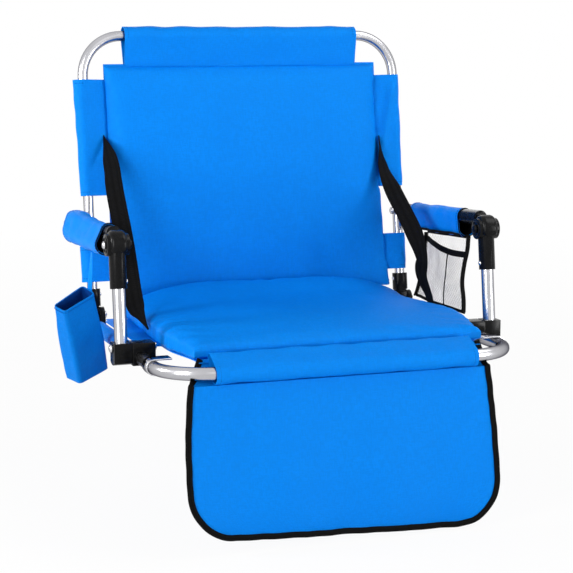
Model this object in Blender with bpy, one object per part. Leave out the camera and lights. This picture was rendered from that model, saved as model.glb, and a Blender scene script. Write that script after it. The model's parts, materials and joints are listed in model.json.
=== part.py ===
"""Folding bleacher seat: a tube frame with a padded sling seat and back, folding arms,
a side pouch, a mesh pocket and a front flap.

Metres, +Z up. The front of the seat faces -Y and left means -X. The origin lies in the middle
of the seat on the plane of the bench that the frame rests on.

Each arm is a link of a four-bar: the back turns on the rear hinges, the arm uprights turn on the
front feet, and the arm joins their heads, so arms stay level while the back folds on the seat.
"""

from math import acos, atan2, cos, pi, radians, sin, sqrt, tau

import bmesh
import bpy
from mathutils import Matrix, Vector

# Clearances
GAP = 0.0003
RUN_GAP = 0.0005
FOLD_GAP = 0.0010
MERGE = 0.000001

# Tubes
RAIL_D = 0.019
BACK_D = 0.016
POST_D = 0.019
ARM_D = 0.019
TUBE_WALL = 0.0012
TUBE_SIDES = 16
BEND_STEPS = 6

# Frame layout
SIDE_X = 0.266
RAIL_Z = 0.0105
PIVOT_Z = 0.025
FOOT_Y = -0.075
HINGE_Y = 0.211
FRONT_BAR_Y = -0.229
RAIL_BEND = 0.065
BACK_BEND = 0.064
TOP_BAR_Z = 0.465
LEAN = radians(7.0)
FOLD = radians(82.0)
ARM_PIVOT_Z = 0.172

# Pivot bolts
BOLT_D = 0.006
BOLT_SIDES = 12
BORE_CLEAR = 0.0003
HEAD_D = 0.012
HEAD_T = 0.0035

# Front feet
CLAMP_WALL = 0.0027
CLAMP_INNER = 0.0215
CLAMP_LENGTH = 0.028
CLAMP_HEIGHT = 0.033
FOOT_WIDTH = 0.026
FOOT_DEPTH = 0.026
FOOT_RISE = 0.008
FOOT_SOLE = 0.0005
FOOT_FLOOR = 0.010
FOOT_STEPS = 8
BLOCK_EDGE = 0.002

# Rear hinges
HINGE_SETBACK = 0.017
HINGE_CHEEK = 0.008
HINGE_ROUND = 0.013
HINGE_STEPS = 10
HINGE_FLOOR = 0.003
HINGE_WEB = 0.0044
HINGE_WEB_TOP = 0.014
HINGE_PLUG = 0.030
TONGUE_W = 0.016
TONGUE_R = 0.0105

# Black sleeves on the tube ends
SLEEVE_D = 0.025
BACK_SLEEVE_START = 0.0145
BACK_SLEEVE_END = 0.042
BACK_TUBE_START = 0.022
POST_SLEEVE_DROP = 0.063
POST_TUBE_DROP = 0.034

# Arm knuckles
DRUM_R = 0.016
DRUM_W = 0.033
DRUM_SIDES = 24
EYE_R = 0.0125
EYE_W = 0.014
EYE_NECK_HALF = 0.00735
HOOD_OPEN = 0.008
KNUCKLE_SLOT_DROP = 0.030
ARM_RISE = 0.016
ARM_START = 0.0203
ARM_COLLAR_D = 0.021
ARM_COLLAR_START = 0.0165
ARM_OVERHANG = 0.014
ARM_PLUG = 0.030
REAR_PLUG = 0.034
REAR_CAP = 0.004
REAR_CAP_EDGE = 0.0024
SPACER_D = 0.016

# Cloth sleeves
CLOTH = 0.002
SIDE_SLEEVE_R = 0.0125
SIDE_SLEEVE_REACH = 0.020
SIDE_SLEEVE_TIP = 0.0035
UPPER_SLEEVE = (0.190, 0.374)
LOWER_SLEEVE = (0.050, 0.110)
TOP_SLEEVE_HALF = 0.198
TOP_SLEEVE_R = 0.0155
TOP_SLEEVE_DROP = 0.031
TOP_SLEEVE_TIP = 0.005
SEAT_SLEEVE = (-0.056, 0.168)
SEAT_SLEEVE_R = 0.012
FRONT_SLEEVE_HALF = 0.200
FRONT_SLEEVE_R = 0.015
FRONT_SLEEVE_BACK = 0.024
FRONT_SLEEVE_UP = 0.012
FRONT_SLEEVE_TIP = 0.007

# Seat and back slings with their pads
SLING_T = 0.002
SEAT_SLING = (-0.193, 0.184)
SEAT_SLING_NOTCH_Y = -0.056
SEAT_SLING_NOTCH_CLEAR = 0.0047
SEAT_SLING_FRONT_HALF = 0.214
SEAT_PAD = (-0.196, 0.184)
SEAT_PAD_INSET = (0.047, 0.033, 0.054)
SEAT_PAD_EDGE = (0.010, 0.013, 0.046)
SEAT_PAD_CROWN = 0.014
BACK_SLING_START = 0.036
BACK_PAD = (0.038, 0.401)
BACK_PAD_INSET = (0.032, 0.038, 0.031)
BACK_PAD_EDGE = (0.014, 0.012, 0.010)
BACK_PAD_CROWN = 0.014
PAD_CELLS = 14

# Webbing straps from the back to the seat
STRAP_W = 0.025
STRAP_T = 0.0016
STRAP_SEAM_IN = 0.0037
STRAP_FOOT_CLEAR = 0.0045
STRAP_RISE = 0.283
STRAP_FOOT_Y = -0.008
STRAP_SAG = 0.008
STRAP_STEPS = 16
STRAP_TURN = pi / 2

# Arm covers
COVER_START = 0.065
COVER_END = 0.268
COVER_TOP_R = 0.0119
COVER_LOW_R = 0.0165
COVER_LOW_OUT = 0.007
COVER_LOW_DROP = 0.021
COVER_SIDES = 14

# Pouch on the left arm
POUCH_WIDE = 0.058
POUCH_DEEP = 0.036
POUCH_TALL = 0.124
POUCH_CLOTH = 0.0018
POUCH_CORNER = 0.008
POUCH_CORNER_STEPS = 3
POUCH_AT = (-0.324, 0.045, 0.0225)
POUCH_TURN = radians(24.0)
POUCH_NOD = radians(15.0)
POUCH_LEAN = radians(-12.0)
POUCH_HANG_Y = 0.036
POUCH_HANG_OUT = 0.006
POUCH_STRAP_W = 0.010
POUCH_STRAP_T = 0.0014
POUCH_STRAP_LAP = 0.018
POUCH_STRAP_STEPS = 4

# Mesh pocket under the right arm
POCKET_FRONT = 0.066
POCKET_BACK = 0.228
POCKET_LOW_Z = 0.028
POCKET_RIM_Z = 0.124
POCKET_RIM_SAG = 0.012
POCKET_DEEP = 0.013
POCKET_CLOTH = 0.0015
POCKET_HEM = 0.006
POCKET_CELLS = 12

# Front flap
FLAP_TOP_HALF = 0.228
FLAP_HALF = 0.238
FLAP_DROP = 0.228
FLAP_CORNER = 0.070
FLAP_T = 0.0022
FLAP_HEM_W = 0.008
FLAP_HEM_T = 0.0045
FLAP_PIVOT_DROP = 0.003
FLAP_WAVE = 0.0035
FLAP_WAVES = 1.5
FLAP_COLUMNS = 16
FLAP_ROWS = 5
FLAP_CORNER_STEPS = 6

# Bench hooks
HOOK_Y = -0.148
HOOK_W = 0.024
HOOK_T = 0.0022
HOOK_TAB = 0.026
HOOK_LIP = 0.012
HOOK_TIP = 0.004
HOOK_STEPS = 8

# Looks: colour, roughness, metallic
ALUMINIUM = ((0.80, 0.80, 0.82), 0.30, 1.0)
ZINC = ((0.72, 0.72, 0.74), 0.22, 1.0)
PLASTIC = ((0.025, 0.025, 0.026), 0.45, 0.0)
BLUE = ((0.004, 0.225, 0.900), 0.80, 0.0)
BLACK_WEB = ((0.010, 0.010, 0.010), 0.85, 0.0)
MESH = ((0.86, 0.85, 0.84), 0.85, 0.0)

# Worked out from the sizes above
RAIL_R = RAIL_D / 2
BACK_R = BACK_D / 2
POST_R = POST_D / 2
ARM_R = ARM_D / 2
BOLT_R = BOLT_D / 2
BORE_R = BOLT_R + BORE_CLEAR
HEAD_R = HEAD_D / 2
SLEEVE_R = SLEEVE_D / 2
COLLAR_R = ARM_COLLAR_D / 2
RAIL_TOP = RAIL_Z + RAIL_R
CLAMP_OUT = SIDE_X + RAIL_R + GAP + CLAMP_WALL
ARM_X = CLAMP_OUT + RUN_GAP + FOOT_WIDTH / 2
LINK = (ARM_PIVOT_Z - PIVOT_Z) / cos(LEAN)
TOP_BAR_UP = (TOP_BAR_Z - PIVOT_Z) / cos(LEAN)
ARM_LENGTH = HINGE_Y - FOOT_Y
ARM_TILT = atan2(ARM_RISE, ARM_LENGTH)
KNUCKLE_Y = FOOT_Y + LINK * sin(LEAN)
FOLD_TURN = FOLD - LEAN
RAIL_END = HINGE_Y - HINGE_SETBACK
HINGE_HALF = TONGUE_W / 2 + RUN_GAP + HINGE_CHEEK
SLING_Z = RAIL_TOP + RUN_GAP
SIDE_SLEEVE_PULL = SIDE_SLEEVE_R - CLOTH - BACK_R - GAP
FRONT_SLEEVE_SAG = FRONT_SLEEVE_R - CLOTH - RAIL_R - GAP
FRONT_SLEEVE_Z = RAIL_Z - FRONT_SLEEVE_SAG
SEAT_PAD_HALF = [SIDE_X - inset for inset in SEAT_PAD_INSET]
BACK_PAD_HALF = [SIDE_X - inset for inset in BACK_PAD_INSET]
SEAT_SLING_NOTCH_HALF = SIDE_X - CLAMP_INNER - GAP - HEAD_T - SEAT_SLING_NOTCH_CLEAR
BACK_SLING_HALF = SIDE_X - SIDE_SLEEVE_REACH - SIDE_SLEEVE_TIP - GAP
STRAP_TOP_X = BACK_SLING_HALF - STRAP_SEAM_IN
BACK_SLING_END = TOP_BAR_UP - TOP_SLEEVE_DROP - TOP_SLEEVE_TIP - GAP

X = Vector((1, 0, 0))
Y = Vector((0, 1, 0))
Z = Vector((0, 0, 1))
SIDES = (("left", -1), ("right", 1))


def clear_scene():
    for old in list(bpy.data.objects):
        bpy.data.objects.remove(old, do_unlink=True)


def material(name, look):
    colour, roughness, metallic = look
    made = bpy.data.materials.new(name + "_finish")
    made.use_nodes = True
    shader = made.node_tree.nodes["Principled BSDF"]
    shader.inputs["Base Color"].default_value = (*colour, 1.0)
    shader.inputs["Roughness"].default_value = roughness
    shader.inputs["Metallic"].default_value = metallic
    return made


def link_object(name, data, parent):
    made = bpy.data.objects.new(name, data)
    bpy.context.scene.collection.objects.link(made)
    made.parent = parent
    return made


def pivot(name, place, turn=0.0, parent=None):
    """An empty on a joint's axis, turned about X, that carries the pieces of one moving body."""
    made = link_object(name, None, parent)
    made.location = place
    made.rotation_euler = (turn, 0.0, 0.0)
    return made


def finish(name, bm, look, parent=None):
    """Close a mesh up, point its faces out and make it a named piece."""
    bmesh.ops.remove_doubles(bm, verts=bm.verts, dist=MERGE)
    bmesh.ops.dissolve_degenerate(bm, edges=bm.edges, dist=MERGE)
    bmesh.ops.recalc_face_normals(bm, faces=bm.faces)
    mesh = bpy.data.meshes.new(name)
    bm.to_mesh(mesh)
    bm.free()
    mesh.shade_smooth()
    mesh.set_sharp_from_angle(angle=radians(35.0))
    mesh.materials.append(material(name, look))
    return link_object(name, mesh, parent)


def boolean(bm, tool, operation):
    """Cut one mesh from another, or join the two, and return the new mesh."""
    pieces = []
    for part in (bm, tool):
        bmesh.ops.recalc_face_normals(part, faces=part.faces)
        mesh = bpy.data.meshes.new("scratch")
        part.to_mesh(mesh)
        part.free()
        pieces.append(link_object("scratch", mesh, None))
    body, cutter = pieces
    change = body.modifiers.new("shape", "BOOLEAN")
    change.operation = operation
    change.object = cutter
    made = bmesh.new()
    made.from_object(body, bpy.context.evaluated_depsgraph_get())
    for piece in pieces:
        mesh = piece.data
        bpy.data.objects.remove(piece)
        bpy.data.meshes.remove(mesh)
    return made


def cut(bm, tool):
    return boolean(bm, tool, "DIFFERENCE")


def join(bm, tool):
    return boolean(bm, tool, "UNION")


def loft(rings, closed=False):
    """Skin a row of rings. A closed row runs back to its first ring, as a tube with a bore does."""
    bm = bmesh.new()
    loops = [[bm.verts.new(point) for point in ring] for ring in rings]
    pairs = list(zip(loops, loops[1:]))
    if closed:
        pairs.append((loops[-1], loops[0]))
    for low, high in pairs:
        for i in range(len(low)):
            j = (i + 1) % len(low)
            bm.faces.new((low[i], low[j], high[j], high[i]))
    if not closed:
        bm.faces.new(loops[0])
        bm.faces.new(loops[-1])
    return bm


def circle(centre, across, up, radius, sides=TUBE_SIDES):
    turns = [tau * i / sides for i in range(sides)]
    return [centre + (across * cos(t) + up * sin(t)) * radius for t in turns]


def turned(origin, axis, across, profile, sides=TUBE_SIDES, closed=False):
    """Rings about an axis: the profile lists a radius and a distance along the axis for each."""
    up = axis.cross(across)
    return loft([circle(origin + axis * along, across, up, radius, sides) for radius, along in profile],
                closed)


def rod(start, end, radius, across, sides=TUBE_SIDES):
    axis = (end - start).normalized()
    return turned(start, axis, across, [(radius, 0.0), (radius, (end - start).length)], sides)


def cross_rod(x_from, x_to, y, z, radius):
    return rod(Vector((x_from, y, z)), Vector((x_to, y, z)), radius, Y, BOLT_SIDES)


def tube(path, normal, outer_r):
    """A hollow tube along a path that lies in one plane."""
    rings = {"outer": [], "inner": []}
    for i, point in enumerate(path):
        ahead = path[min(i + 1, len(path) - 1)]
        behind = path[max(i - 1, 0)]
        across = (ahead - behind).normalized().cross(normal)
        rings["outer"].append(circle(point, across, normal, outer_r))
        rings["inner"].append(circle(point, across, normal, outer_r - TUBE_WALL))
    return loft(rings["outer"] + rings["inner"][::-1], closed=True)


def u_path(half, near, far, bend):
    """A flat U in two coordinates, from its left end round the far bar to its right end."""
    way = 1 if far > near else -1
    points = [(-half, near)]
    for corner, first in ((-1, pi), (1, pi / 2)):
        for i in range(BEND_STEPS + 1):
            t = first - (pi / 2) * i / BEND_STEPS
            points.append((corner * (half - bend) + bend * cos(t), far + way * bend * (sin(t) - 1)))
    return points + [(half, near)]


def box(low, high):
    bm = bmesh.new()
    bmesh.ops.create_cube(bm, size=1.0)
    low, high = Vector(low), Vector(high)
    bmesh.ops.scale(bm, vec=high - low, verts=bm.verts)
    bmesh.ops.translate(bm, vec=(low + high) / 2, verts=bm.verts)
    return bm


def side_box(side, x_near, x_far, y_span, z_span):
    """A box on one side of the seat, given by its distances from the middle plane."""
    xs = sorted((side * x_near, side * x_far))
    return box((xs[0], y_span[0], z_span[0]), (xs[1], y_span[1], z_span[1]))


def slab(outline, x_from, x_to):
    """An outline in Y and Z pushed along X."""
    return loft([[Vector((x, y, z)) for y, z in outline] for x in (x_from, x_to)])


def arc(centre, radius, first, last, steps):
    turns = [first + (last - first) * i / steps for i in range(steps + 1)]
    return [(centre[0] + radius * cos(t), centre[1] + radius * sin(t)) for t in turns]


def egg(first, first_r, second, second_r, steps=COVER_SIDES):
    """The belt line round two circles of unlike size."""
    reach = (Vector(second) - Vector(first)).length
    heading = atan2(second[1] - first[1], second[0] - first[0])
    split = acos((first_r - second_r) / reach)
    return (arc(first, first_r, heading + split, heading + tau - split, steps)
            + arc(second, second_r, heading - split, heading + split, steps))


def sleeve(first, first_r, second, second_r, stations, place):
    """A cloth sleeve: a belt line with the cloth's thickness, run through the stations."""
    outer = egg(first, first_r, second, second_r)
    inner = egg(first, first_r - CLOTH, second, second_r - CLOTH)
    rings = [[place(a, b, s) for a, b in outer] for s in stations]
    rings += [[place(a, b, s) for a, b in inner] for s in reversed(stations)]
    return loft(rings, closed=True)


def ribbon(points, widths, width, thick):
    """A flat strap through points, with its width lying along the direction given at each."""
    rings = []
    for i, point in enumerate(points):
        along = (points[min(i + 1, len(points) - 1)] - points[max(i - 1, 0)]).normalized()
        wide = (widths[i] - along * widths[i].dot(along)).normalized() * (width / 2)
        deep = along.cross(wide).normalized() * (thick / 2)
        rings.append([point - wide - deep, point + wide - deep, point + wide + deep, point - wide + deep])
    return loft(rings)


def through_three(values, t):
    """A smooth run through a first, a middle and a last value as t goes from 0 to 1."""
    first, middle, last = values
    return first * (1 - t) * (1 - 2 * t) + middle * 4 * t * (1 - t) + last * t * (2 * t - 1)


def pad(span, halves, edges, crown, place):
    """A cushion: a flat base, edges of their own height and a crown that fades to the outline.

    halves and edges are given at the start, the middle and the end of the span.
    """
    bm = bmesh.new()
    bmesh.ops.create_grid(bm, x_segments=PAD_CELLS, y_segments=PAD_CELLS, size=1.0)
    base = list(bm.verts)
    spots = [(vert.co.x, (vert.co.y + 1) / 2) for vert in base]
    lifted = bmesh.ops.extrude_face_region(bm, geom=list(bm.faces))
    top = [item for item in lifted["geom"] if isinstance(item, bmesh.types.BMVert)]
    tops = [(vert.co.x, (vert.co.y + 1) / 2) for vert in top]
    for verts, places, is_top in ((base, spots, False), (top, tops, True)):
        for vert, (u, t) in zip(verts, places):
            across = u * through_three(halves, t)
            along = span[0] + (span[1] - span[0]) * t
            swell = sqrt(max(0.0, 1 - u * u)) * sqrt(max(0.0, 1 - (2 * t - 1) ** 2))
            height = through_three(edges, t) + crown * swell if is_top else 0.0
            vert.co = place(across, along, height)
    return bm


def arm_line(u):
    """The point of the arm tube's axis that lies u behind the knuckle."""
    return Vector((0, u, ARM_RISE * (1 - u / ARM_LENGTH)))


def seat_frame():
    path = [Vector((a, b, RAIL_Z)) for a, b in u_path(SIDE_X, RAIL_END, FRONT_BAR_Y, RAIL_BEND)]
    finish("seat_frame_tube", tube(path, Z, RAIL_R), ALUMINIUM)


def pivot_bolt(name, y, z, side, x_in, x_out, parent=None):
    """A bolt along X with a head on its outer end and a nut on its inner end."""
    profile = [(HEAD_R, x_in - HEAD_T), (HEAD_R, x_in), (BOLT_R, x_in), (BOLT_R, x_out),
               (HEAD_R, x_out), (HEAD_R, x_out + HEAD_T)]
    bm = turned(Vector((0, y, z)), X * side, Y, profile, BOLT_SIDES)
    finish(name, bm, ZINC, parent)


def rail_clamp(name, side):
    """A block that grips the rail and carries the foot bolt above it."""
    x_in = SIDE_X - CLAMP_INNER
    bm = side_box(side, x_in, CLAMP_OUT, (FOOT_Y - CLAMP_LENGTH / 2, FOOT_Y + CLAMP_LENGTH / 2),
                  (0.0, CLAMP_HEIGHT))
    upper = [edge for edge in bm.edges if min(vert.co.z for vert in edge.verts) > CLAMP_HEIGHT / 2]
    bmesh.ops.bevel(bm, geom=upper, offset=BLOCK_EDGE, segments=2, affect="EDGES", profile=0.5)
    rail = rod(Vector((side * SIDE_X, FOOT_Y - CLAMP_LENGTH, RAIL_Z)),
               Vector((side * SIDE_X, FOOT_Y + CLAMP_LENGTH, RAIL_Z)), RAIL_R + GAP, X)
    bm = cut(bm, rail)
    bm = cut(bm, cross_rod(-ARM_X, ARM_X, FOOT_Y, PIVOT_Z, BORE_R))
    finish(name, bm, PLASTIC)
    pivot_bolt(name.replace("rail_clamp", "foot_bolt"), FOOT_Y, PIVOT_Z, side, x_in - GAP,
               ARM_X + FOOT_WIDTH / 2 + GAP)


def hinge_bracket(name, side):
    """The rear fitting: a plug in the rail's end and a fork that holds the back's foot."""
    outline = [(HINGE_Y - HINGE_SETBACK + GAP, 0.0), (HINGE_Y + HINGE_ROUND, 0.0)]
    outline += arc((HINGE_Y, PIVOT_Z), HINGE_ROUND, 0.0, pi, HINGE_STEPS)
    outline += [(HINGE_Y - HINGE_SETBACK + GAP, HINGE_WEB_TOP)]
    bm = slab(outline, side * (SIDE_X - HINGE_HALF), side * (SIDE_X + HINGE_HALF))
    slot = TONGUE_W / 2 + RUN_GAP
    web_back = HINGE_Y - HINGE_SETBACK + HINGE_WEB
    bm = cut(bm, side_box(side, SIDE_X - slot, SIDE_X + slot, (web_back, HINGE_Y + HINGE_SETBACK),
                          (HINGE_FLOOR, PIVOT_Z + HINGE_SETBACK)))
    bm = cut(bm, side_box(side, SIDE_X - slot, SIDE_X + slot, (RAIL_END - HINGE_WEB, HINGE_Y),
                          (HINGE_WEB_TOP, PIVOT_Z + HINGE_SETBACK)))
    plug = rod(Vector((side * SIDE_X, RAIL_END - HINGE_PLUG, RAIL_Z)),
               Vector((side * SIDE_X, RAIL_END + HINGE_WEB / 2, RAIL_Z)),
               RAIL_R - TUBE_WALL - GAP, X)
    bm = join(bm, plug)
    bm = cut(bm, cross_rod(-ARM_X, ARM_X, HINGE_Y, PIVOT_Z, BORE_R))
    finish(name, bm, PLASTIC)
    pivot_bolt(name.replace("hinge_bracket", "hinge_bolt"), HINGE_Y, PIVOT_Z, side,
               SIDE_X - HINGE_HALF - GAP, SIDE_X + HINGE_HALF + GAP)


def back_foot(name, side, back):
    """The black foot of the back tube: a sleeve with a tongue that turns in the rear fork.

    Its front is relieved to the plane that the rail's top reaches when the back is folded.
    """
    centre = Vector((side * SIDE_X, 0, 0))
    bore = BACK_R + GAP
    profile = [(SLEEVE_R, BACK_SLEEVE_START), (SLEEVE_R, BACK_SLEEVE_END), (bore, BACK_SLEEVE_END),
               (bore, BACK_TUBE_START - GAP)]
    bm = turned(centre, Z, X, profile)
    shoulder = BACK_SLEEVE_START + BLOCK_EDGE
    outline = arc((0.0, 0.0), TONGUE_R, pi, tau, HINGE_STEPS)
    outline += [(TONGUE_R, shoulder), (-TONGUE_R, shoulder)]
    half = TONGUE_W / 2
    bm = join(bm, slab(outline, side * (SIDE_X - half), side * (SIDE_X + half)))
    bm = cut(bm, cross_rod(-ARM_X, ARM_X, 0.0, 0.0, BORE_R))
    rail = box((side * SIDE_X - SLEEVE_D, -SLEEVE_D * 4, -SLEEVE_D * 2),
               (side * SIDE_X + SLEEVE_D, -HINGE_SETBACK + HINGE_WEB, RAIL_TOP + FOLD_GAP - PIVOT_Z))
    bmesh.ops.rotate(rail, verts=rail.verts, cent=(0, 0, 0), matrix=Matrix.Rotation(-FOLD_TURN, 3, "X"))
    bm = cut(bm, rail)
    finish(name, bm, PLASTIC, back)


def back_frame(back):
    path = [Vector((a, 0, b)) for a, b in u_path(SIDE_X, BACK_TUBE_START, TOP_BAR_UP, BACK_BEND)]
    bm = cut(tube(path, Y, BACK_R), cross_rod(-ARM_X, ARM_X, 0.0, LINK, BORE_R))
    finish("back_frame_tube", bm, ALUMINIUM, back)
    for label, side in SIDES:
        back_foot(label + "_back_foot", side, back)
        pivot_bolt(label + "_arm_bolt", 0.0, LINK, side, SIDE_X - BACK_R - GAP, ARM_X + ARM_R + GAP, back)
        near = SIDE_X + BACK_R + GAP
        far = ARM_X - ARM_R - GAP
        profile = [(SPACER_D / 2, near), (SPACER_D / 2, far), (BORE_R, far), (BORE_R, near)]
        spacer = turned(Vector((0, 0, LINK)), X * side, Y, profile, BOLT_SIDES, closed=True)
        finish(label + "_arm_spacer", spacer, PLASTIC, back)


def back_cloth(back):
    """The sling, the sleeves that wrap the back tube and the pad in front."""
    sling = box((-BACK_SLING_HALF, -SLING_T / 2, BACK_SLING_START),
                (BACK_SLING_HALF, SLING_T / 2, BACK_SLING_END))
    finish("back_sling", sling, BLUE, back)
    for label, side in SIDES:
        for part, span in (("upper", UPPER_SLEEVE), ("lower", LOWER_SLEEVE)):
            bm = sleeve((SIDE_X - SIDE_SLEEVE_PULL, 0.0), SIDE_SLEEVE_R, (SIDE_X - SIDE_SLEEVE_REACH, 0.0),
                        SIDE_SLEEVE_TIP, span, lambda a, b, s: Vector((side * a, b, s)))
            finish(label + "_" + part + "_side_sleeve", bm, BLUE, back)
    top = sleeve((0.0, TOP_BAR_UP), TOP_SLEEVE_R, (0.0, TOP_BAR_UP - TOP_SLEEVE_DROP), TOP_SLEEVE_TIP,
                 (-TOP_SLEEVE_HALF, TOP_SLEEVE_HALF), lambda a, b, s: Vector((s, a, b)))
    finish("top_sleeve", top, BLUE, back)
    front = -SLING_T / 2 - GAP
    cushion = pad(BACK_PAD, BACK_PAD_HALF, BACK_PAD_EDGE, BACK_PAD_CROWN,
                  lambda across, along, height: Vector((across, front - height, along)))
    finish("back_pad", cushion, BLUE, back)


def seat_cloth():
    """The sling between the rails, its sleeves and the seat pad.

    The sling is cut back at its rear corners, where the back's feet lie when it is folded.
    """
    side_half = SIDE_X - sqrt(SEAT_SLEEVE_R ** 2 - (SLING_Z - RAIL_Z) ** 2) - RUN_GAP
    rear_half = SIDE_X - SLEEVE_R - FOLD_GAP
    rear_y = HINGE_Y - BACK_SLEEVE_END - FOLD_GAP
    corners = [(rear_half, SEAT_SLING[1]), (rear_half, rear_y), (side_half, rear_y),
               (side_half, SEAT_SLING_NOTCH_Y),
               (SEAT_SLING_NOTCH_HALF, SEAT_SLING_NOTCH_Y), (SEAT_SLING_FRONT_HALF, SEAT_SLING[0])]
    outline = corners + [(-x, y) for x, y in reversed(corners)]
    sling = loft([[Vector((x, y, z)) for x, y in outline] for z in (SLING_Z, SLING_Z + SLING_T)])
    finish("seat_sling", sling, BLUE)
    for label, side in SIDES:
        profile = [(SEAT_SLEEVE_R, SEAT_SLEEVE[0]), (SEAT_SLEEVE_R, SEAT_SLEEVE[1]),
                   (RAIL_R + GAP, SEAT_SLEEVE[1]), (RAIL_R + GAP, SEAT_SLEEVE[0])]
        bm = turned(Vector((side * SIDE_X, 0, RAIL_Z)), Y, X, profile, closed=True)
        finish(label + "_seat_sleeve", bm, BLUE)
    front = sleeve((FRONT_BAR_Y, FRONT_SLEEVE_Z), FRONT_SLEEVE_R,
                   (FRONT_BAR_Y + FRONT_SLEEVE_BACK, RAIL_Z + FRONT_SLEEVE_UP), FRONT_SLEEVE_TIP,
                   (-FRONT_SLEEVE_HALF, FRONT_SLEEVE_HALF), lambda a, b, s: Vector((s, a, b)))
    finish("front_sleeve", front, BLUE)
    base = SLING_Z + SLING_T + GAP
    cushion = pad(SEAT_PAD, SEAT_PAD_HALF, SEAT_PAD_EDGE, SEAT_PAD_CROWN,
                  lambda across, along, height: Vector((across, along, base + height)))
    finish("seat_pad", cushion, BLUE)


def straps():
    """Webbing that stops the back, sewn in edge-on beside its pad and lying flat at the seat."""
    out_of_back = Vector((0, cos(LEAN), -sin(LEAN)))
    up_back = Vector((0, sin(LEAN), cos(LEAN)))
    foot_z = SLING_Z + SLING_T + GAP + STRAP_T / 2
    foot_share = (STRAP_FOOT_Y - SEAT_PAD[0]) / (SEAT_PAD[1] - SEAT_PAD[0])
    foot_x = through_three(SEAT_PAD_HALF, foot_share) + STRAP_FOOT_CLEAR + STRAP_W / 2
    for label, side in SIDES:
        seam = Vector((side * STRAP_TOP_X, HINGE_Y, PIVOT_Z)) + up_back * STRAP_RISE
        end = Vector((side * foot_x, STRAP_FOOT_Y, foot_z))
        edge_on = (end - seam).normalized().cross(X)
        stand_off = SLING_T / 2 + RUN_GAP + abs(edge_on.dot(out_of_back)) * STRAP_W / 2
        start = seam - out_of_back * stand_off
        points = []
        widths = []
        for i in range(STRAP_STEPS + 1):
            t = i / STRAP_STEPS
            points.append(start.lerp(end, t) - Z * (4 * STRAP_SAG * t * (1 - t)))
            turn = side * STRAP_TURN * (1 - t) ** 2 * (1 + 2 * t)
            widths.append(Matrix.Rotation(turn, 3, (end - start).normalized()) @ X)
        finish(label + "_strap", ribbon(points, widths, STRAP_W, STRAP_T), BLACK_WEB)


def arm_reach():
    """The space that the arm tube takes at full fold, in the frame of the upright's head."""
    half = COLLAR_R + FOLD_GAP
    bm = box((-half, ARM_COLLAR_START - FOLD_GAP, -half), (half, ARM_LENGTH, half + SLEEVE_D))
    bmesh.ops.rotate(bm, verts=bm.verts, cent=(0, 0, 0), matrix=Matrix.Rotation(-ARM_TILT, 3, "X"))
    bmesh.ops.translate(bm, verts=bm.verts, vec=(0, 0, ARM_RISE))
    bmesh.ops.rotate(bm, verts=bm.verts, cent=(0, 0, 0), matrix=Matrix.Rotation(-FOLD_TURN, 3, "X"))
    return bm


def knuckle(name, upright):
    """The black head of an upright: a sleeve, and a drum with a hood round the arm's eye.

    It opens to the rear, where the arm swings, and its neck is relieved for the folded arm.
    """
    bore = POST_R + GAP
    low = LINK - POST_SLEEVE_DROP
    profile = [(SLEEVE_R, LINK - DRUM_R / 2), (SLEEVE_R, low), (bore, low), (bore, LINK - POST_TUBE_DROP)]
    bm = turned(Vector((0, 0, 0)), Z, X, profile)
    drum = rod(Vector((-DRUM_W / 2, 0, LINK)), Vector((DRUM_W / 2, 0, LINK)), DRUM_R, Y, DRUM_SIDES)
    bm = join(bm, drum)
    slot = EYE_W / 2 + RUN_GAP
    far = DRUM_R * 2
    bm = cut(bm, box((-slot, 0.0, LINK - KNUCKLE_SLOT_DROP), (slot, far, LINK + far)))
    bm = cut(bm, box((-slot, -HOOD_OPEN, LINK), (slot, far, LINK + far)))
    bm = cut(bm, rod(Vector((-slot, 0, LINK)), Vector((slot, 0, LINK)), EYE_R + RUN_GAP, Y, DRUM_SIDES))
    reach = arm_reach()
    bmesh.ops.translate(reach, verts=reach.verts, vec=(0, 0, LINK))
    bm = cut(bm, reach)
    bm = cut(bm, cross_rod(-DRUM_W, DRUM_W, 0.0, LINK, BORE_R))
    finish(name, bm, PLASTIC, upright)


def foot_block(name, upright):
    """The upright's foot: square in front, its sole an arc about the bolt so that it can roll."""
    sole = PIVOT_Z - FOOT_SOLE
    half = FOOT_DEPTH / 2
    flank = acos(half / sole)
    outline = [(half, FOOT_RISE), (-half, FOOT_RISE)]
    outline += arc((0.0, 0.0), sole, pi + flank, tau - flank, FOOT_STEPS)
    bm = slab(outline, -FOOT_WIDTH / 2, FOOT_WIDTH / 2)
    bmesh.ops.rotate(bm, verts=bm.verts, cent=(0, 0, 0), matrix=Matrix.Rotation(LEAN, 3, "X"))
    seat = rod(Vector((0, 0, -FOOT_FLOOR - GAP)), Vector((0, 0, PIVOT_Z)), POST_R + GAP, X)
    bm = cut(bm, seat)
    bm = cut(bm, cross_rod(-FOOT_WIDTH, FOOT_WIDTH, 0.0, 0.0, BORE_R))
    finish(name, bm, PLASTIC, upright)


def upright_parts(label, upright):
    path = [Vector((0, 0, -FOOT_FLOOR)), Vector((0, 0, LINK - POST_TUBE_DROP - GAP))]
    bm = cut(tube(path, Y, POST_R), cross_rod(-FOOT_WIDTH, FOOT_WIDTH, 0.0, 0.0, BORE_R))
    finish(label + "_upright_tube", bm, ALUMINIUM, upright)
    foot_block(label + "_foot_block", upright)
    knuckle(label + "_knuckle", upright)
    side = -1 if label == "left" else 1
    pivot_bolt(label + "_knuckle_bolt", 0.0, LINK, side, -DRUM_W / 2 - GAP, DRUM_W / 2 + GAP, upright)


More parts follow.
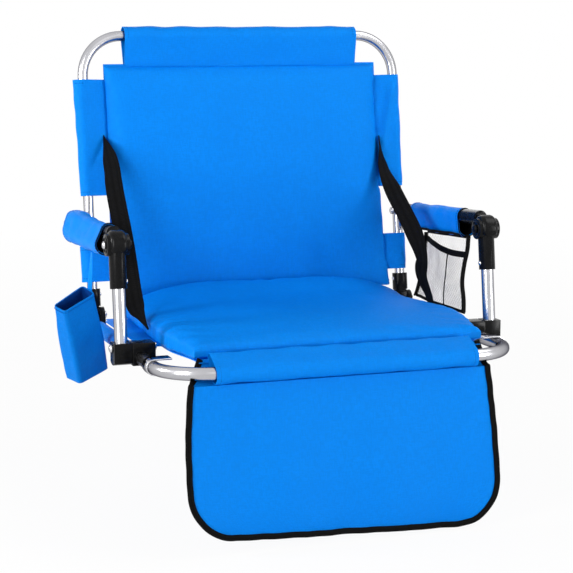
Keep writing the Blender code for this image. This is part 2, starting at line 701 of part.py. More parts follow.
def arm_parts(label, side, arm):
    """The arm's tube, the eye piece in its front end, the plug in its rear end and its cover."""
    start = arm_line(ARM_START)
    end = arm_line(ARM_LENGTH + ARM_OVERHANG)
    hole = (ARM_LENGTH, 0.0)
    bm = cut(tube([start, end], X, ARM_R), cross_rod(-ARM_D, ARM_D, *hole, BORE_R))
    finish(label + "_arm_tube", bm, ALUMINIUM, arm)

    along = (end - start).normalized()
    plug_r = ARM_R - TUBE_WALL - GAP
    collar = arm_line(ARM_COLLAR_START)
    collar_t = (start - collar).length - GAP
    eye = turned(collar, along, X, [(COLLAR_R, 0.0), (COLLAR_R, collar_t), (plug_r, collar_t),
                                    (plug_r, collar_t + ARM_PLUG)])
    blade = bmesh.new()
    neck = [(ARM_COLLAR_START + BLOCK_EDGE, collar.z + way * EYE_NECK_HALF) for way in (-1, 1)]
    for x in (-EYE_W / 2, EYE_W / 2):
        for y, z in arc((0.0, 0.0), EYE_R, 0.0, tau - tau / DRUM_SIDES, DRUM_SIDES - 1) + neck:
            blade.verts.new((x, y, z))
    bmesh.ops.convex_hull(blade, input=blade.verts)
    eye = cut(join(eye, blade), cross_rod(-DRUM_W, DRUM_W, 0.0, 0.0, BORE_R))
    finish(label + "_arm_eye", eye, PLASTIC, arm)

    inside = (end - start).length
    plug = turned(start, along, X, [(plug_r, inside - REAR_PLUG), (plug_r, inside + GAP),
                                    (ARM_R, inside + GAP), (ARM_R, inside + REAR_CAP / 2),
                                    (ARM_R - REAR_CAP_EDGE, inside + REAR_CAP)])
    plug = cut(plug, cross_rod(-ARM_D, ARM_D, *hole, BORE_R))
    finish(label + "_arm_rear_plug", plug, PLASTIC, arm)

    cover = sleeve((0.0, 0.0), COVER_TOP_R, (COVER_LOW_OUT, -COVER_LOW_DROP), COVER_LOW_R,
                   (COVER_START, COVER_END),
                   lambda a, b, s: arm_line(s) + Vector((side * a, 0, b)))
    finish(label + "_arm_cover", cover, BLUE, arm)


def cover_bottom(u, out=0.0):
    """The height of an arm cover's underside above its knuckle, some way out from its lowest line."""
    return arm_line(u).z - COVER_LOW_DROP - sqrt(COVER_LOW_R ** 2 - out ** 2)


def rounded_box(wide, deep, corner):
    """A rectangle with round corners, as points in two coordinates."""
    points = []
    for i, (sx, sy) in enumerate(((1, 1), (-1, 1), (-1, -1), (1, -1))):
        centre = (sx * (wide / 2 - corner), sy * (deep / 2 - corner))
        points += arc(centre, corner, i * pi / 2, (i + 1) * pi / 2, POUCH_CORNER_STEPS)
    return points


def pouch(swing, hang):
    """An open-topped cloth pouch that hangs, tilted, by one strap from the left arm's cover."""
    tilt = (Matrix.Rotation(POUCH_LEAN, 3, "Y") @ Matrix.Rotation(POUCH_NOD, 3, "X")
            @ Matrix.Rotation(POUCH_TURN, 3, "Z"))
    middle = Vector(POUCH_AT) - hang

    def at(a, b, c):
        return middle + tilt @ Vector((a, b, c))

    outer = rounded_box(POUCH_WIDE, POUCH_DEEP, POUCH_CORNER)
    inner = rounded_box(POUCH_WIDE - 2 * POUCH_CLOTH, POUCH_DEEP - 2 * POUCH_CLOTH,
                        POUCH_CORNER - POUCH_CLOTH)
    low, high = -POUCH_TALL / 2, POUCH_TALL / 2
    rings = [[at(a, b, low) for a, b in outer], [at(a, b, high) for a, b in outer],
             [at(a, b, high) for a, b in inner], [at(a, b, low + POUCH_CLOTH) for a, b in inner]]
    finish("pouch", loft(rings), BLUE, swing)

    face = POUCH_WIDE / 2 + GAP + POUCH_STRAP_T / 2
    lap = [at(face, 0.0, high - POUCH_STRAP_LAP), at(face, 0.0, high - POUCH_STRAP_LAP / 2),
           at(face, 0.0, high)]
    top = Vector((0, 0, -GAP - POUCH_STRAP_T))
    points = lap + [lap[-1].lerp(top, (i + 1) / POUCH_STRAP_STEPS) for i in range(POUCH_STRAP_STEPS)]
    wide = tilt @ Y
    widths = []
    for i in range(len(points)):
        share = max(0, i - 1) / (len(points) - 2)
        widths.append(wide.lerp(Y, share * share * (3 - 2 * share)))
    finish("pouch_strap", ribbon(points, widths, POUCH_STRAP_W, POUCH_STRAP_T), BLUE, swing)


def mesh_pocket(arm):
    """A flat pocket of white mesh under the right arm, with its mouth towards the sitter.

    The outer sheet hangs from the arm's cover, and the inner sheet's rim sags between its ends.
    """
    floor = POCKET_LOW_Z - ARM_PIVOT_Z
    rim = POCKET_RIM_Z - ARM_PIVOT_Z
    hang = [cover_bottom(u) - GAP for u in (POCKET_FRONT, POCKET_BACK)]
    rings = []
    for i in range(POCKET_CELLS + 1):
        t = i / POCKET_CELLS
        u = POCKET_FRONT + (POCKET_BACK - POCKET_FRONT) * t
        deep = POCKET_CLOTH * 2 + (POCKET_DEEP - POCKET_CLOTH * 2) * sin(pi * t) ** 0.5
        top = hang[0] + (hang[1] - hang[0]) * t
        mouth = rim - POCKET_RIM_SAG * sin(pi * t)
        outer = COVER_LOW_OUT - POCKET_CLOTH
        inner = outer - deep
        solid = i in (0, POCKET_CELLS)
        inside = outer - POCKET_CLOTH if not solid else inner + POCKET_CLOTH
        section = [(outer, floor), (outer, top), (outer - POCKET_CLOTH, top), (inside, floor + POCKET_CLOTH),
                   (inner + POCKET_CLOTH, floor + POCKET_CLOTH), (inner + POCKET_CLOTH, mouth),
                   (inner, mouth), (inner, floor)]
        rings.append([Vector((a, u, b)) for a, b in section])
    finish("mesh_pocket", loft(rings), MESH, arm)

    hem_in = COVER_LOW_OUT - POCKET_CLOTH - POCKET_CLOTH * 2
    hem_out = COVER_LOW_OUT - POCKET_CLOTH
    for part, u, way in (("front", POCKET_FRONT, -1), ("rear", POCKET_BACK, 1)):
        near = u + way * GAP
        far = u + way * POCKET_HEM
        bm = box((hem_in, min(near, far), floor), (hem_out, max(near, far), cover_bottom(u) - RUN_GAP))
        finish("mesh_pocket_" + part + "_hem", bm, BLACK_WEB, arm)


def flap_edge():
    """The panel's half widths from its top edge down to the end of its round lower corner."""
    hem = FLAP_HEM_W + GAP
    top = FLAP_TOP_HALF - hem
    wide = FLAP_HALF - hem
    corner = FLAP_CORNER - hem
    straight = FLAP_DROP - FLAP_CORNER
    line = []
    for i in range(FLAP_ROWS + 1):
        share = i / FLAP_ROWS
        line.append((top + (wide - top) * share * (2 - share), straight * share))
    for i in range(1, FLAP_CORNER_STEPS + 1):
        turn = (pi / 2) * i / FLAP_CORNER_STEPS
        line.append((wide - corner * (1 - cos(turn)), straight + corner * sin(turn)))
    return line


def flap_wave(x, drop):
    """How far the hanging cloth stands forward in its soft folds."""
    share = drop / FLAP_DROP
    return -FLAP_WAVE * share * (1 - cos(tau * FLAP_WAVES * x / FLAP_HALF)) / 2


def flap(swing, top_up):
    """The cloth flap and the binding sewn round its free edges."""
    edge = flap_edge()
    rows = len(edge) - 1
    bm = bmesh.new()
    bmesh.ops.create_grid(bm, x_segments=FLAP_COLUMNS, y_segments=rows, size=1.0)
    for vert in bm.verts:
        half, drop = edge[round((1 - vert.co.y) / 2 * rows)]
        x = vert.co.x * half
        vert.co = (x, flap_wave(x, drop) - FLAP_T / 2, top_up - drop)
    lifted = bmesh.ops.extrude_face_region(bm, geom=list(bm.faces))
    back = [item for item in lifted["geom"] if isinstance(item, bmesh.types.BMVert)]
    bmesh.ops.translate(bm, verts=back, vec=(0, FLAP_T, 0))
    finish("flap_panel", bm, BLUE, swing)

    low_half, low_drop = edge[-1]
    foot = [(low_half * (1 - 2 * i / FLAP_COLUMNS), low_drop) for i in range(1, FLAP_COLUMNS)]
    line = edge + foot + [(-x, drop) for x, drop in reversed(edge)]
    rings = []
    for i, (x, drop) in enumerate(line):
        ahead = Vector(line[min(i + 1, len(line) - 1)])
        behind = Vector(line[max(i - 1, 0)])
        run = (ahead - behind).normalized()
        out = Vector((run.y, -run.x))
        depth = flap_wave(x, drop)
        ring = []
        for offset, face in ((GAP, -1), (FLAP_HEM_W, -1), (FLAP_HEM_W, 1), (GAP, 1)):
            ring.append(Vector((x + out.x * offset, depth + face * FLAP_HEM_T / 2,
                                top_up - drop - out.y * offset)))
        rings.append(ring)
    finish("flap_binding", loft(rings), BLACK_WEB, swing)


def bench_hook(name, side, swivel):
    """A bent steel strip round the rail, with a tab above and a hooked lip below."""
    inner = RAIL_R + GAP
    mid = inner + HOOK_T / 2
    line = [(-HOOK_TAB, mid)] + arc((0.0, 0.0), mid, pi / 2, -pi / 2, HOOK_STEPS)
    line += [(-HOOK_LIP, -mid), (-HOOK_LIP - HOOK_TIP / 2, -mid - HOOK_TIP)]
    points = [Vector((side * a, 0, b)) for a, b in line]
    bm = ribbon(points, [Y] * len(points), HOOK_W, HOOK_T)
    finish(name, bm, ZINC, swivel)


def main():
    clear_scene()
    seat_frame()
    seat_cloth()
    straps()
    back = pivot("back_pivot", (0, HINGE_Y, PIVOT_Z), -LEAN)
    back_frame(back)
    back_cloth(back)
    knuckle_z = PIVOT_Z + LINK * cos(LEAN)
    arms = {}
    for label, side in SIDES:
        rail_clamp(label + "_rail_clamp", side)
        hinge_bracket(label + "_hinge_bracket", side)
        upright = pivot(label + "_upright_pivot", (side * ARM_X, FOOT_Y, PIVOT_Z), -LEAN)
        upright_parts(label, upright)
        arms[label] = pivot(label + "_arm_pivot", (side * ARM_X, KNUCKLE_Y, knuckle_z))
        arm_parts(label, side, arms[label])
        swivel = pivot(label + "_hook_pivot", (side * SIDE_X, HOOK_Y, RAIL_Z))
        bench_hook(label + "_bench_hook", side, swivel)
    mesh_pocket(arms["right"])
    hang_z = knuckle_z + cover_bottom(POUCH_HANG_Y - KNUCKLE_Y, POUCH_HANG_OUT)
    hang = Vector((-ARM_X - COVER_LOW_OUT - POUCH_HANG_OUT, POUCH_HANG_Y, hang_z))
    pouch(pivot("pouch_pivot", hang), hang)
    sleeve_low = FRONT_SLEEVE_Z - FRONT_SLEEVE_R
    flap_pivot = pivot("flap_pivot", (0, FRONT_BAR_Y, sleeve_low - FLAP_PIVOT_DROP))
    flap(flap_pivot, FLAP_PIVOT_DROP - GAP)


main()
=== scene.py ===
"""Looks of a folding bleacher seat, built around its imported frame. Metres, +Z up, -Y to the front."""
import json
from math import acos, asin, atan2, cos, exp, pi, radians, sin, sqrt, tau

import bmesh
import bpy
from mathutils import Matrix, Vector, noise
from mathutils.bvhtree import BVHTree


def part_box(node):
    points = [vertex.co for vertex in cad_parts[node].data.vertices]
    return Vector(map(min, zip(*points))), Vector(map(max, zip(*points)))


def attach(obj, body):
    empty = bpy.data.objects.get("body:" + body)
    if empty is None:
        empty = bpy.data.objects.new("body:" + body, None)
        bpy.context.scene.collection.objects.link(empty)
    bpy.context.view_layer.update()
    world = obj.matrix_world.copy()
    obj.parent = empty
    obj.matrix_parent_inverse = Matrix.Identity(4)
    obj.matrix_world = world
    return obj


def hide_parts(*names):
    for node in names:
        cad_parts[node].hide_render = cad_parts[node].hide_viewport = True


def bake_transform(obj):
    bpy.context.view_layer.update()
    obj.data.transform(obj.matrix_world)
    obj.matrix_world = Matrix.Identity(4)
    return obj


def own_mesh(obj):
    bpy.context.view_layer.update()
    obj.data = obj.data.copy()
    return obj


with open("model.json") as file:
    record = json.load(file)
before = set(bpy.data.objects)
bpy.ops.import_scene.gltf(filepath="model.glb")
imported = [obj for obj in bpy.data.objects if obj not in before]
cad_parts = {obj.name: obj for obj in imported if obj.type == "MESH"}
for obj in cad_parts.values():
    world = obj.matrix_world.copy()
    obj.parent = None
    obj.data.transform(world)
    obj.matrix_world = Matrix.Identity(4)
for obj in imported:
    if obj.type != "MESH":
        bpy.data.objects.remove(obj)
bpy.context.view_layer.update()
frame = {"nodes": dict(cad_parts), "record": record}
NODES = frame["nodes"]
PIVOTS = {joint["name"]: Vector(joint["pos_m"]) for joint in frame["record"]["behaviour"]["joints"]}

# Places that the frame gives
HINGE = PIVOTS["back_fold"]
FOOT = PIVOTS["right_upright_fold"]
KNUCKLE = PIVOTS["right_arm_level"]
POUCH_HANG = PIVOTS["pouch_swing"]
ARM_X = KNUCKLE.x
SIDES = (("left", -1), ("right", 1))

# Tubes
LEAN = radians(7.0)
SIDE_X = 0.266
RAIL_Z = 0.0105
RAIL_R = 0.0095
BACK_R = 0.008
ARM_R = 0.0095
RAIL_END = 0.194
FRONT_BAR_Y = -0.229
RAIL_BEND = (0.080, 0.068)
BACK_START = 0.022
TOP_BAR_UP = 0.4433
BACK_BEND = (0.064, 0.064)
LINK = (KNUCKLE - FOOT).length
POST_FLOOR = 0.010
POST_TOP = LINK - 0.0343
ARM_LENGTH = HINGE.y - FOOT.y
ARM_RISE = 0.016
ARM_SPAN = (0.0203, 0.300)
TUBE_SIDES = 32
BEND_STEPS = 14

# Cloth
CLOTH = 0.0014
WELD = 0.000001
STITCH = (0.0030, 0.0007, 0.0005)
STITCH_PITCH = 0.0042
STITCH_LIFT = 0.0003
STITCH_LOOK = 0.002
CLOTH_GLOSS = 0.05
WEAVE_SHADE = 0.70
SLUB_LONG = 110.0
SLUB_FINE = 420.0
SLUB_DEEP = 8.0
SLUB_SHADE = 0.82

X = Vector((1, 0, 0))
Y = Vector((0, 1, 0))
Z = Vector((0, 0, 1))
BACK_OUT = Vector((0, cos(LEAN), -sin(LEAN)))
BACK_UP = Vector((0, sin(LEAN), cos(LEAN)))


def on_back(x, out, up):
    """A point of the back, given by its distance behind the tubes' plane and up from the hinge."""
    return HINGE + X * x + BACK_OUT * out + BACK_UP * up


def arm_line(side, u):
    """The point of an arm tube's axis that lies u behind its knuckle."""
    return Vector((side * ARM_X, KNUCKLE.y + u, KNUCKLE.z + ARM_RISE * (1 - u / ARM_LENGTH)))


def ease(t):
    t = max(0.0, min(1.0, t))
    return t * t * (3 - 2 * t)


def mix(a, b, t):
    return a + (b - a) * t


def through(values, t):
    """A smooth run through evenly spaced values as t goes from 0 to 1."""
    place = max(0.0, min(1.0, t)) * (len(values) - 1)
    i = min(int(place), len(values) - 2)
    s = place - i
    p0, p1, p2, p3 = (values[max(0, min(len(values) - 1, i + k))] for k in (-1, 0, 1, 2))
    return p1 + (p2 - p0) * (s / 2) + (p0 * 2 - p1 * 5 + p2 * 4 - p3) * (s * s / 2) \
        + (p1 * 3 - p0 - p2 * 3 + p3) * (s ** 3 / 2)


def ripple(point, grain, seed=0.0):
    """Soft noise about zero, with bumps about one grain across."""
    return noise.noise(Vector(point) / grain + Vector((seed, seed * 0.7, -seed)))


def add(tree, kind, inputs=(), **settings):
    made = tree.nodes.new("ShaderNode" + kind)
    for key, value in settings.items():
        setattr(made, key, value)
    for key, value in dict(inputs).items():
        if isinstance(value, bpy.types.NodeSocket):
            tree.links.new(value, made.inputs[key])
        else:
            made.inputs[key].default_value = value
    return made


def two_tone(tree, factor, first, second):
    """A colour between two others, where the factor is a socket and each colour a tuple or a socket."""
    made = add(tree, "Mix", data_type="RGBA")
    tree.links.new(factor, made.inputs[0])
    for index, colour in ((6, first), (7, second)):
        if isinstance(colour, bpy.types.NodeSocket):
            tree.links.new(colour, made.inputs[index])
        else:
            made.inputs[index].default_value = (*colour, 1.0)
    return made.outputs[2]


def toned(colour, share):
    return tuple(share * value for value in colour)


def ranged(tree, value, low, high, to_low=0.0, to_high=1.0):
    made = add(tree, "MapRange", {"Value": value, "From Min": low, "From Max": high,
                                  "To Min": to_low, "To Max": to_high})
    return made.outputs["Result"]


def started(name, metallic=0.0, sheen=0.0, specular=0.5):
    """A new material with its node tree, its shader and the coordinates of the piece it is on."""
    made = bpy.data.materials.new(name)
    made.use_nodes = True
    tree = made.node_tree
    shader = tree.nodes["Principled BSDF"]
    shader.inputs["Metallic"].default_value = metallic
    shader.inputs["Specular IOR Level"].default_value = specular
    if sheen:
        shader.inputs["Sheen Weight"].default_value = sheen
        shader.inputs["Sheen Roughness"].default_value = 0.45
    return made, tree, shader, add(tree, "TexCoord").outputs


def cloudy(tree, coords, scale, detail):
    return add(tree, "TexNoise", {"Vector": coords, "Scale": scale, "Detail": detail}).outputs["Fac"]


def patchy(tree, coords, scale, detail, low, high, to_low=0.0, to_high=1.0):
    """Cloudy noise whose values from low to high are spread over another range."""
    return ranged(tree, cloudy(tree, coords, scale, detail), low, high, to_low, to_high)


def bands(tree, coords, pitch, direction):
    """Even threads, one pitch apart, that run across a direction."""
    made = add(tree, "TexWave", {"Vector": coords, "Scale": tau / (20 * pitch), "Distortion": 0.4,
                                 "Detail": 1.0, "Detail Scale": 1.0},
               wave_type="BANDS", bands_direction=direction)
    return made.outputs["Fac"]


def raised(tree, height, distance, strength, below=None):
    made = add(tree, "Bump", {"Height": height, "Distance": distance, "Strength": strength})
    if below is not None:
        tree.links.new(below, made.inputs["Normal"])
    return made.outputs["Normal"]


def feed(tree, shader, colour, roughness, normal=None):
    """Wire a shader's colour, its roughness and, where there is one, its bump."""
    for key, socket in (("Base Color", colour), ("Roughness", roughness), ("Normal", normal)):
        if socket is not None:
            tree.links.new(socket, shader.inputs[key])


def woven_cloth(name, bright, deep, rough, pitch=0.0011, threads_on="UV", ways="XY"):
    """Plain woven polyester: crossing threads, soft mottling and uneven yarn.

    The threads follow the piece's UV map in metres, or two axes where a piece has none.
    """
    made, tree, shader, coords = started(name, specular=CLOTH_GLOSS)
    spot = coords["Object"]
    warp, weft = (bands(tree, coords[threads_on], pitch, way) for way in ways)
    threads = add(tree, "Math", {0: warp, 1: weft}, operation="ADD").outputs[0]
    mottled = two_tone(tree, patchy(tree, spot, 26.0, 9.0, 0.3, 0.7), deep, bright)
    shaded = two_tone(tree, ranged(tree, threads, 0.2, 1.6), toned(deep, WEAVE_SHADE), mottled)
    slubs = []
    for way in ways:
        stretch = [SLUB_LONG if axis == way else SLUB_FINE if axis in ways else SLUB_DEEP
                   for axis in "XYZ"]
        run = add(tree, "Mapping", {"Vector": coords[threads_on], "Scale": stretch})
        slubs.append(cloudy(tree, run.outputs[0], 1.0, 1.0))
    uneven = add(tree, "Math", {0: slubs[0], 1: slubs[1]}, operation="ADD").outputs[0]
    slubbed = two_tone(tree, ranged(tree, uneven, 0.80, 1.20), toned(deep, SLUB_SHADE), shaded)
    fuzz = patchy(tree, spot, 420.0, 2.0, 0.3, 0.7, rough - 0.08, rough + 0.08)
    soft = raised(tree, cloudy(tree, spot, 70.0, 3.0), 0.0012, 0.25)
    feed(tree, shader, slubbed, fuzz, raised(tree, threads, 0.00018, 0.6, soft))
    return made


def webbing(name, colour, rib):
    """Woven tape with ribs across its length, read from the piece's own UV map in metres."""
    made, tree, shader, coords = started(name, specular=0.07)
    spot = coords["Object"]
    ribs = bands(tree, coords["UV"], rib, "X")
    yarns = bands(tree, coords["UV"], rib * 1.6, "Y")
    height = add(tree, "Math", {0: ribs, 1: yarns}, operation="MULTIPLY").outputs[0]
    worn = patchy(tree, spot, 90.0, 4.0, 0.35, 0.7, 0.0, 0.6)
    faded = two_tone(tree, worn, colour, toned(colour, 2.2))
    shaded = two_tone(tree, ranged(tree, height, 0.0, 0.6), toned(colour, 0.45), faded)
    fuzz = patchy(tree, spot, 500.0, 2.0, 0.3, 0.7, 0.72, 0.9)
    feed(tree, shader, shaded, fuzz, raised(tree, height, 0.0004, 0.7))
    return made


def moulded_plastic(name, colour):
    """Black nylon with a fine spark-eroded grain and a soft gloss that is rubbed in places."""
    made, tree, shader, coords = started(name, specular=0.11)
    spot = coords["Object"]
    rubbed = two_tone(tree, patchy(tree, spot, 55.0, 5.0, 0.4, 0.75), colour, toned(colour, 1.9))
    gloss = patchy(tree, spot, 130.0, 4.0, 0.3, 0.7, 0.20, 0.32)
    feed(tree, shader, rubbed, gloss, raised(tree, cloudy(tree, spot, 900.0, 2.0), 0.00006, 0.25))
    return made


def drawn_metal(name, colour, dull, rough, painted_dark_rim_tint, streaks=None):
    """Bare metal with a cloudy polish, its rims tinted dark as a painted reflection of dark surroundings,
    and fine draw marks along a tube's UV map.
    """
    made, tree, shader, coords = started(name, metallic=1.0)
    shader.inputs["Specular Tint"].default_value = (*painted_dark_rim_tint, 1.0)
    spot = coords["Object"]
    hazy = two_tone(tree, patchy(tree, spot, 30.0, 4.0, 0.35, 0.7), colour, dull)
    if streaks:
        drawn = add(tree, "Mapping", {"Vector": coords["UV"], "Scale": streaks})
        marks = cloudy(tree, drawn.outputs[0], 1.0, 2.0)
    else:
        marks = cloudy(tree, spot, 120.0, 3.0)
    feed(tree, shader, hazy, ranged(tree, marks, 0.3, 0.7, rough - 0.03, rough + 0.04))
    return made


def net_yarn(name, grey, white):
    """White knitted yarn, painted grey all over as the shade it takes, in cloudy patches from one grey to a
    lighter one.
    """
    made, tree, shader, coords = started(name, sheen=0.1, specular=0.3)
    spot = coords["Object"]
    painted_shade_greys = two_tone(tree, patchy(tree, spot, 110.0, 4.0, 0.3, 0.7), grey, white)
    fuzz = cloudy(tree, spot, 2400.0, 2.0)
    feed(tree, shader, painted_shade_greys, ranged(tree, fuzz, 0.3, 0.7, 0.65, 0.9), raised(tree, fuzz, 0.0001, 0.6))
    return made


BLUE_LIT = (0.0010, 0.275, 0.955)
BLUE_DEEP = (0.0010, 0.250, 0.895)
BLUE_ROUGH = 0.50
# The pouch takes the blue cloth darkened by this share, as painted shade on the pouch.
POUCH_PAINTED_SHADE = 0.80
BLUE = woven_cloth("blue_woven_cloth", BLUE_LIT, BLUE_DEEP, BLUE_ROUGH)
BLUE_POUCH_PAINTED_SHADE = woven_cloth("blue_pouch_cloth_painted_shade", toned(BLUE_LIT, POUCH_PAINTED_SHADE), toned(BLUE_DEEP, POUCH_PAINTED_SHADE),
                         BLUE_ROUGH)
BLUE_BACK = woven_cloth("blue_back_pad_cloth", BLUE_LIT, BLUE_DEEP, BLUE_ROUGH, threads_on="Object",
                        ways="XZ")
BLUE_SEAT = woven_cloth("blue_seat_pad_cloth", BLUE_LIT, BLUE_DEEP, BLUE_ROUGH, threads_on="Object")
LINING = woven_cloth("dark_blue_lining", (0.003, 0.060, 0.330), (0.002, 0.048, 0.270), 0.80)
# Black cloth inside the arm covers, as painted shade for their dark insides.
BLACK_SHADE_LINING = woven_cloth("black_lining_painted_shade", (0.006, 0.006, 0.008), (0.004, 0.004, 0.005), 0.85)
# Deep blue thread: the stitches' own darker blue, darkened further as painted shade for the creases along
# the pads' edges.
THREAD_AND_SEAM_SHADE = woven_cloth("blue_sewing_thread_and_seam_shade", (0.001, 0.120, 0.520), (0.001, 0.095, 0.430), 0.55,
                     pitch=0.0006, threads_on="Object")
WEB = webbing("black_webbing", (0.0036, 0.0036, 0.0038), 0.0018)
TAPE = webbing("black_binding_tape", (0.0042, 0.0042, 0.0042), 0.0012)
PLASTIC = moulded_plastic("black_moulded_plastic", (0.0032, 0.0032, 0.0034))
# The last colour of each metal is its rims' tint, a painted dark reflection.
ALUMINIUM = drawn_metal("satin_aluminium", (0.53, 0.53, 0.555), (0.46, 0.46, 0.48), 0.22,
                        (0.12, 0.12, 0.14), streaks=(6.0, 900.0, 1.0))
STEEL = drawn_metal("bright_zinc_steel", (0.66, 0.66, 0.68), (0.54, 0.54, 0.56), 0.12, (0.15, 0.15, 0.17))
# The white yarn is written grey, as painted shade that makes the net stand out against the white floor.
NET = net_yarn("white_net_yarn", (0.46, 0.43, 0.42), (0.66, 0.64, 0.63))

SLOT_OF = {PLASTIC: "black_plastic", ALUMINIUM: "aluminium_tube", STEEL: "bright_steel", NET: "white_mesh"}
SLOT_OF |= dict.fromkeys((BLUE, BLUE_POUCH_PAINTED_SHADE, BLUE_BACK, BLUE_SEAT, LINING, THREAD_AND_SEAM_SHADE), "blue_cloth")
SLOT_OF |= dict.fromkeys((BLACK_SHADE_LINING, WEB, TAPE), "black_webbing")


def run_length(place, steps=48):
    """The length of the line that place(t) draws as t goes from 0 to 1."""
    spots = [place(i / steps) for i in range(steps + 1)]
    return sum((b - a).length for a, b in zip(spots, spots[1:]))


def mapped_grid(cells_u, cells_v, place):
    """A grid whose points go where place(u, v) says, with its UV map in metres. Edges that meet join."""
    span = (run_length(lambda t: place(t, 0.5)), run_length(lambda t: place(0.5, t)))
    bm = bmesh.new()
    bmesh.ops.create_grid(bm, x_segments=cells_u, y_segments=cells_v, size=0.5)
    uv = bm.loops.layers.uv.new("UVMap")
    for face in bm.faces:
        for loop in face.loops:
            loop[uv].uv = ((loop.vert.co.x + 0.5) * span[0], (loop.vert.co.y + 0.5) * span[1])
    for vert in bm.verts:
        vert.co = place(vert.co.x + 0.5, vert.co.y + 0.5)
    bmesh.ops.remove_doubles(bm, verts=bm.verts, dist=WELD)
    return bm


def open_edges(bm):
    return [edge for edge in bm.edges if len(edge.link_faces) == 1]


def closed_ends(bm):
    """Fill the open ends of a pipe-like grid."""
    bmesh.ops.holes_fill(bm, edges=open_edges(bm), sides=0)
    return bm


def broken(bm, edges, offset, segments):
    """Round the given edges off."""
    bmesh.ops.bevel(bm, geom=edges, offset=offset, segments=segments, profile=0.5, affect="EDGES",
                    material=-1, clamp_overlap=True)


def thickened(bm, thick):
    """Give a sheet a wall on its inner side."""
    bmesh.ops.recalc_face_normals(bm, faces=bm.faces)
    bmesh.ops.solidify(bm, geom=list(bm.faces), thickness=thick)
    return bm


def as_mesh(name, bm):
    data = bpy.data.meshes.new(name)
    bm.to_mesh(data)
    bm.free()
    return data


def placed(name, data):
    """A new object in the scene."""
    made = bpy.data.objects.new(name, data)
    bpy.context.scene.collection.objects.link(made)
    return made


def piece(name, bm, material, body, replaces=(), smooth=radians(40), recalc=True):
    """Finish a mesh as a visible piece that rides on a body."""
    if recalc:
        bmesh.ops.recalc_face_normals(bm, faces=bm.faces)
    data = as_mesh(name, bm)
    data.materials.append(material)
    data.shade_smooth()
    if smooth:
        data.set_sharp_from_angle(angle=smooth)
    made = placed(name, data)
    if body:
        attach(made, body)
    if replaces:
        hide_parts(*replaces)
    return made


def evaluated_mesh(made):
    graph = bpy.context.evaluated_depsgraph_get()
    return bpy.data.meshes.new_from_object(made.evaluated_get(graph))


def taken_out(made):
    """What an object's modifiers make of it, as a bmesh. The object itself goes."""
    result = bmesh.new()
    result.from_mesh(evaluated_mesh(made))
    bpy.data.objects.remove(made)
    return result


def pipe(path, normal, radius):
    """A round bar along a path that lies in one plane."""
    last = len(path) - 1

    def place(u, v):
        i = round(u * last)
        along = (path[min(i + 1, last)] - path[max(i - 1, 0)]).normalized()
        across = along.cross(normal)
        return path[i] + (across * cos(tau * v) + normal * sin(tau * v)) * radius

    return closed_ends(mapped_grid(last, TUBE_SIDES, place))


def u_bend(half, near, far, bend, deep):
    """A flat U in two coordinates, from its left end round the far bar to its right end.

    Its corners take up one length of the far bar and another, the deep one, of the sides.
    """
    way = 1 if far > near else -1
    points = [(-half, near)]
    for corner, first in ((-1, pi), (1, pi / 2)):
        for i in range(BEND_STEPS + 1):
            t = first - (pi / 2) * i / BEND_STEPS
            points.append((corner * (half - bend) + bend * cos(t), far + way * deep * (sin(t) - 1)))
    return points + [(half, near)]


def stitches(name, spots, body):
    """A row of sewing stitches. Each spot is a point, the way that the row runs and the way out."""
    bm = bmesh.new()
    size = Matrix.Diagonal((*STITCH, 1.0))
    for point, run, out in spots:
        side = run.cross(out).normalized()
        turn = Matrix((run.normalized(), side, out.normalized())).transposed().to_4x4()
        bmesh.ops.create_cube(bm, size=1.0, matrix=Matrix.Translation(point) @ turn @ size)
    return piece(name, bm, THREAD_AND_SEAM_SHADE, body, smooth=radians(80))


def row_on(place, start, end, flip=1.0):
    """Stitch spots along a straight run in a sheet's own (u, v), lifted off the sheet."""
    step = (end[0] - start[0], end[1] - start[1])
    du, dv = step[0] * STITCH_LOOK, step[1] * STITCH_LOOK

    def at(t):
        return start[0] + step[0] * t, start[1] + step[1] * t

    count = max(1, int(run_length(lambda t: place(*at(t)), 24) / STITCH_PITCH))
    spots = []
    for i in range(count):
        u, v = at((i + 0.5) / count)
        run = place(u + du, v + dv) - place(u - du, v - dv)
        across = place(u - dv, v + du) - place(u + dv, v - du)
        out = run.cross(across).normalized() * flip
        spots.append((place(u, v) + out * STITCH_LIFT, run, out))
    return spots


def belt(first, first_r, second, second_r):
    """The closed line round two circles, as a function of a share from 0 to 1 and an outward offset."""
    first, second = Vector(first), Vector(second)
    reach = (second - first).length
    heading = atan2(second.y - first.y, second.x - first.x)
    split = acos((first_r - second_r) / reach)
    straight = sqrt(reach ** 2 - (first_r - second_r) ** 2)
    runs = (first_r * (tau - 2 * split), straight, second_r * 2 * split, straight)
    total = sum(runs)

    def at(share, offset=0.0):
        s = (share % 1.0) * total
        if s <= runs[0]:
            turn = heading + split + s / first_r
            return first + Vector((cos(turn), sin(turn))) * (first_r + offset)
        s -= runs[0]
        low, high = heading - split, heading + split
        if s <= runs[1]:
            normal = Vector((cos(low), sin(low)))
            near, far = first + normal * first_r, second + normal * second_r
            return near.lerp(far, s / runs[1]) + normal * offset
        s -= runs[1]
        if s <= runs[2]:
            turn = low + s / second_r
            return second + Vector((cos(turn), sin(turn))) * (second_r + offset)
        s -= runs[2]
        normal = Vector((cos(high), sin(high)))
        near, far = first + normal * first_r, second + normal * second_r
        return far.lerp(near, s / runs[3]) + normal * offset

    return at


SHARP_EDGE = radians(42)
DOME_STEPS = 6


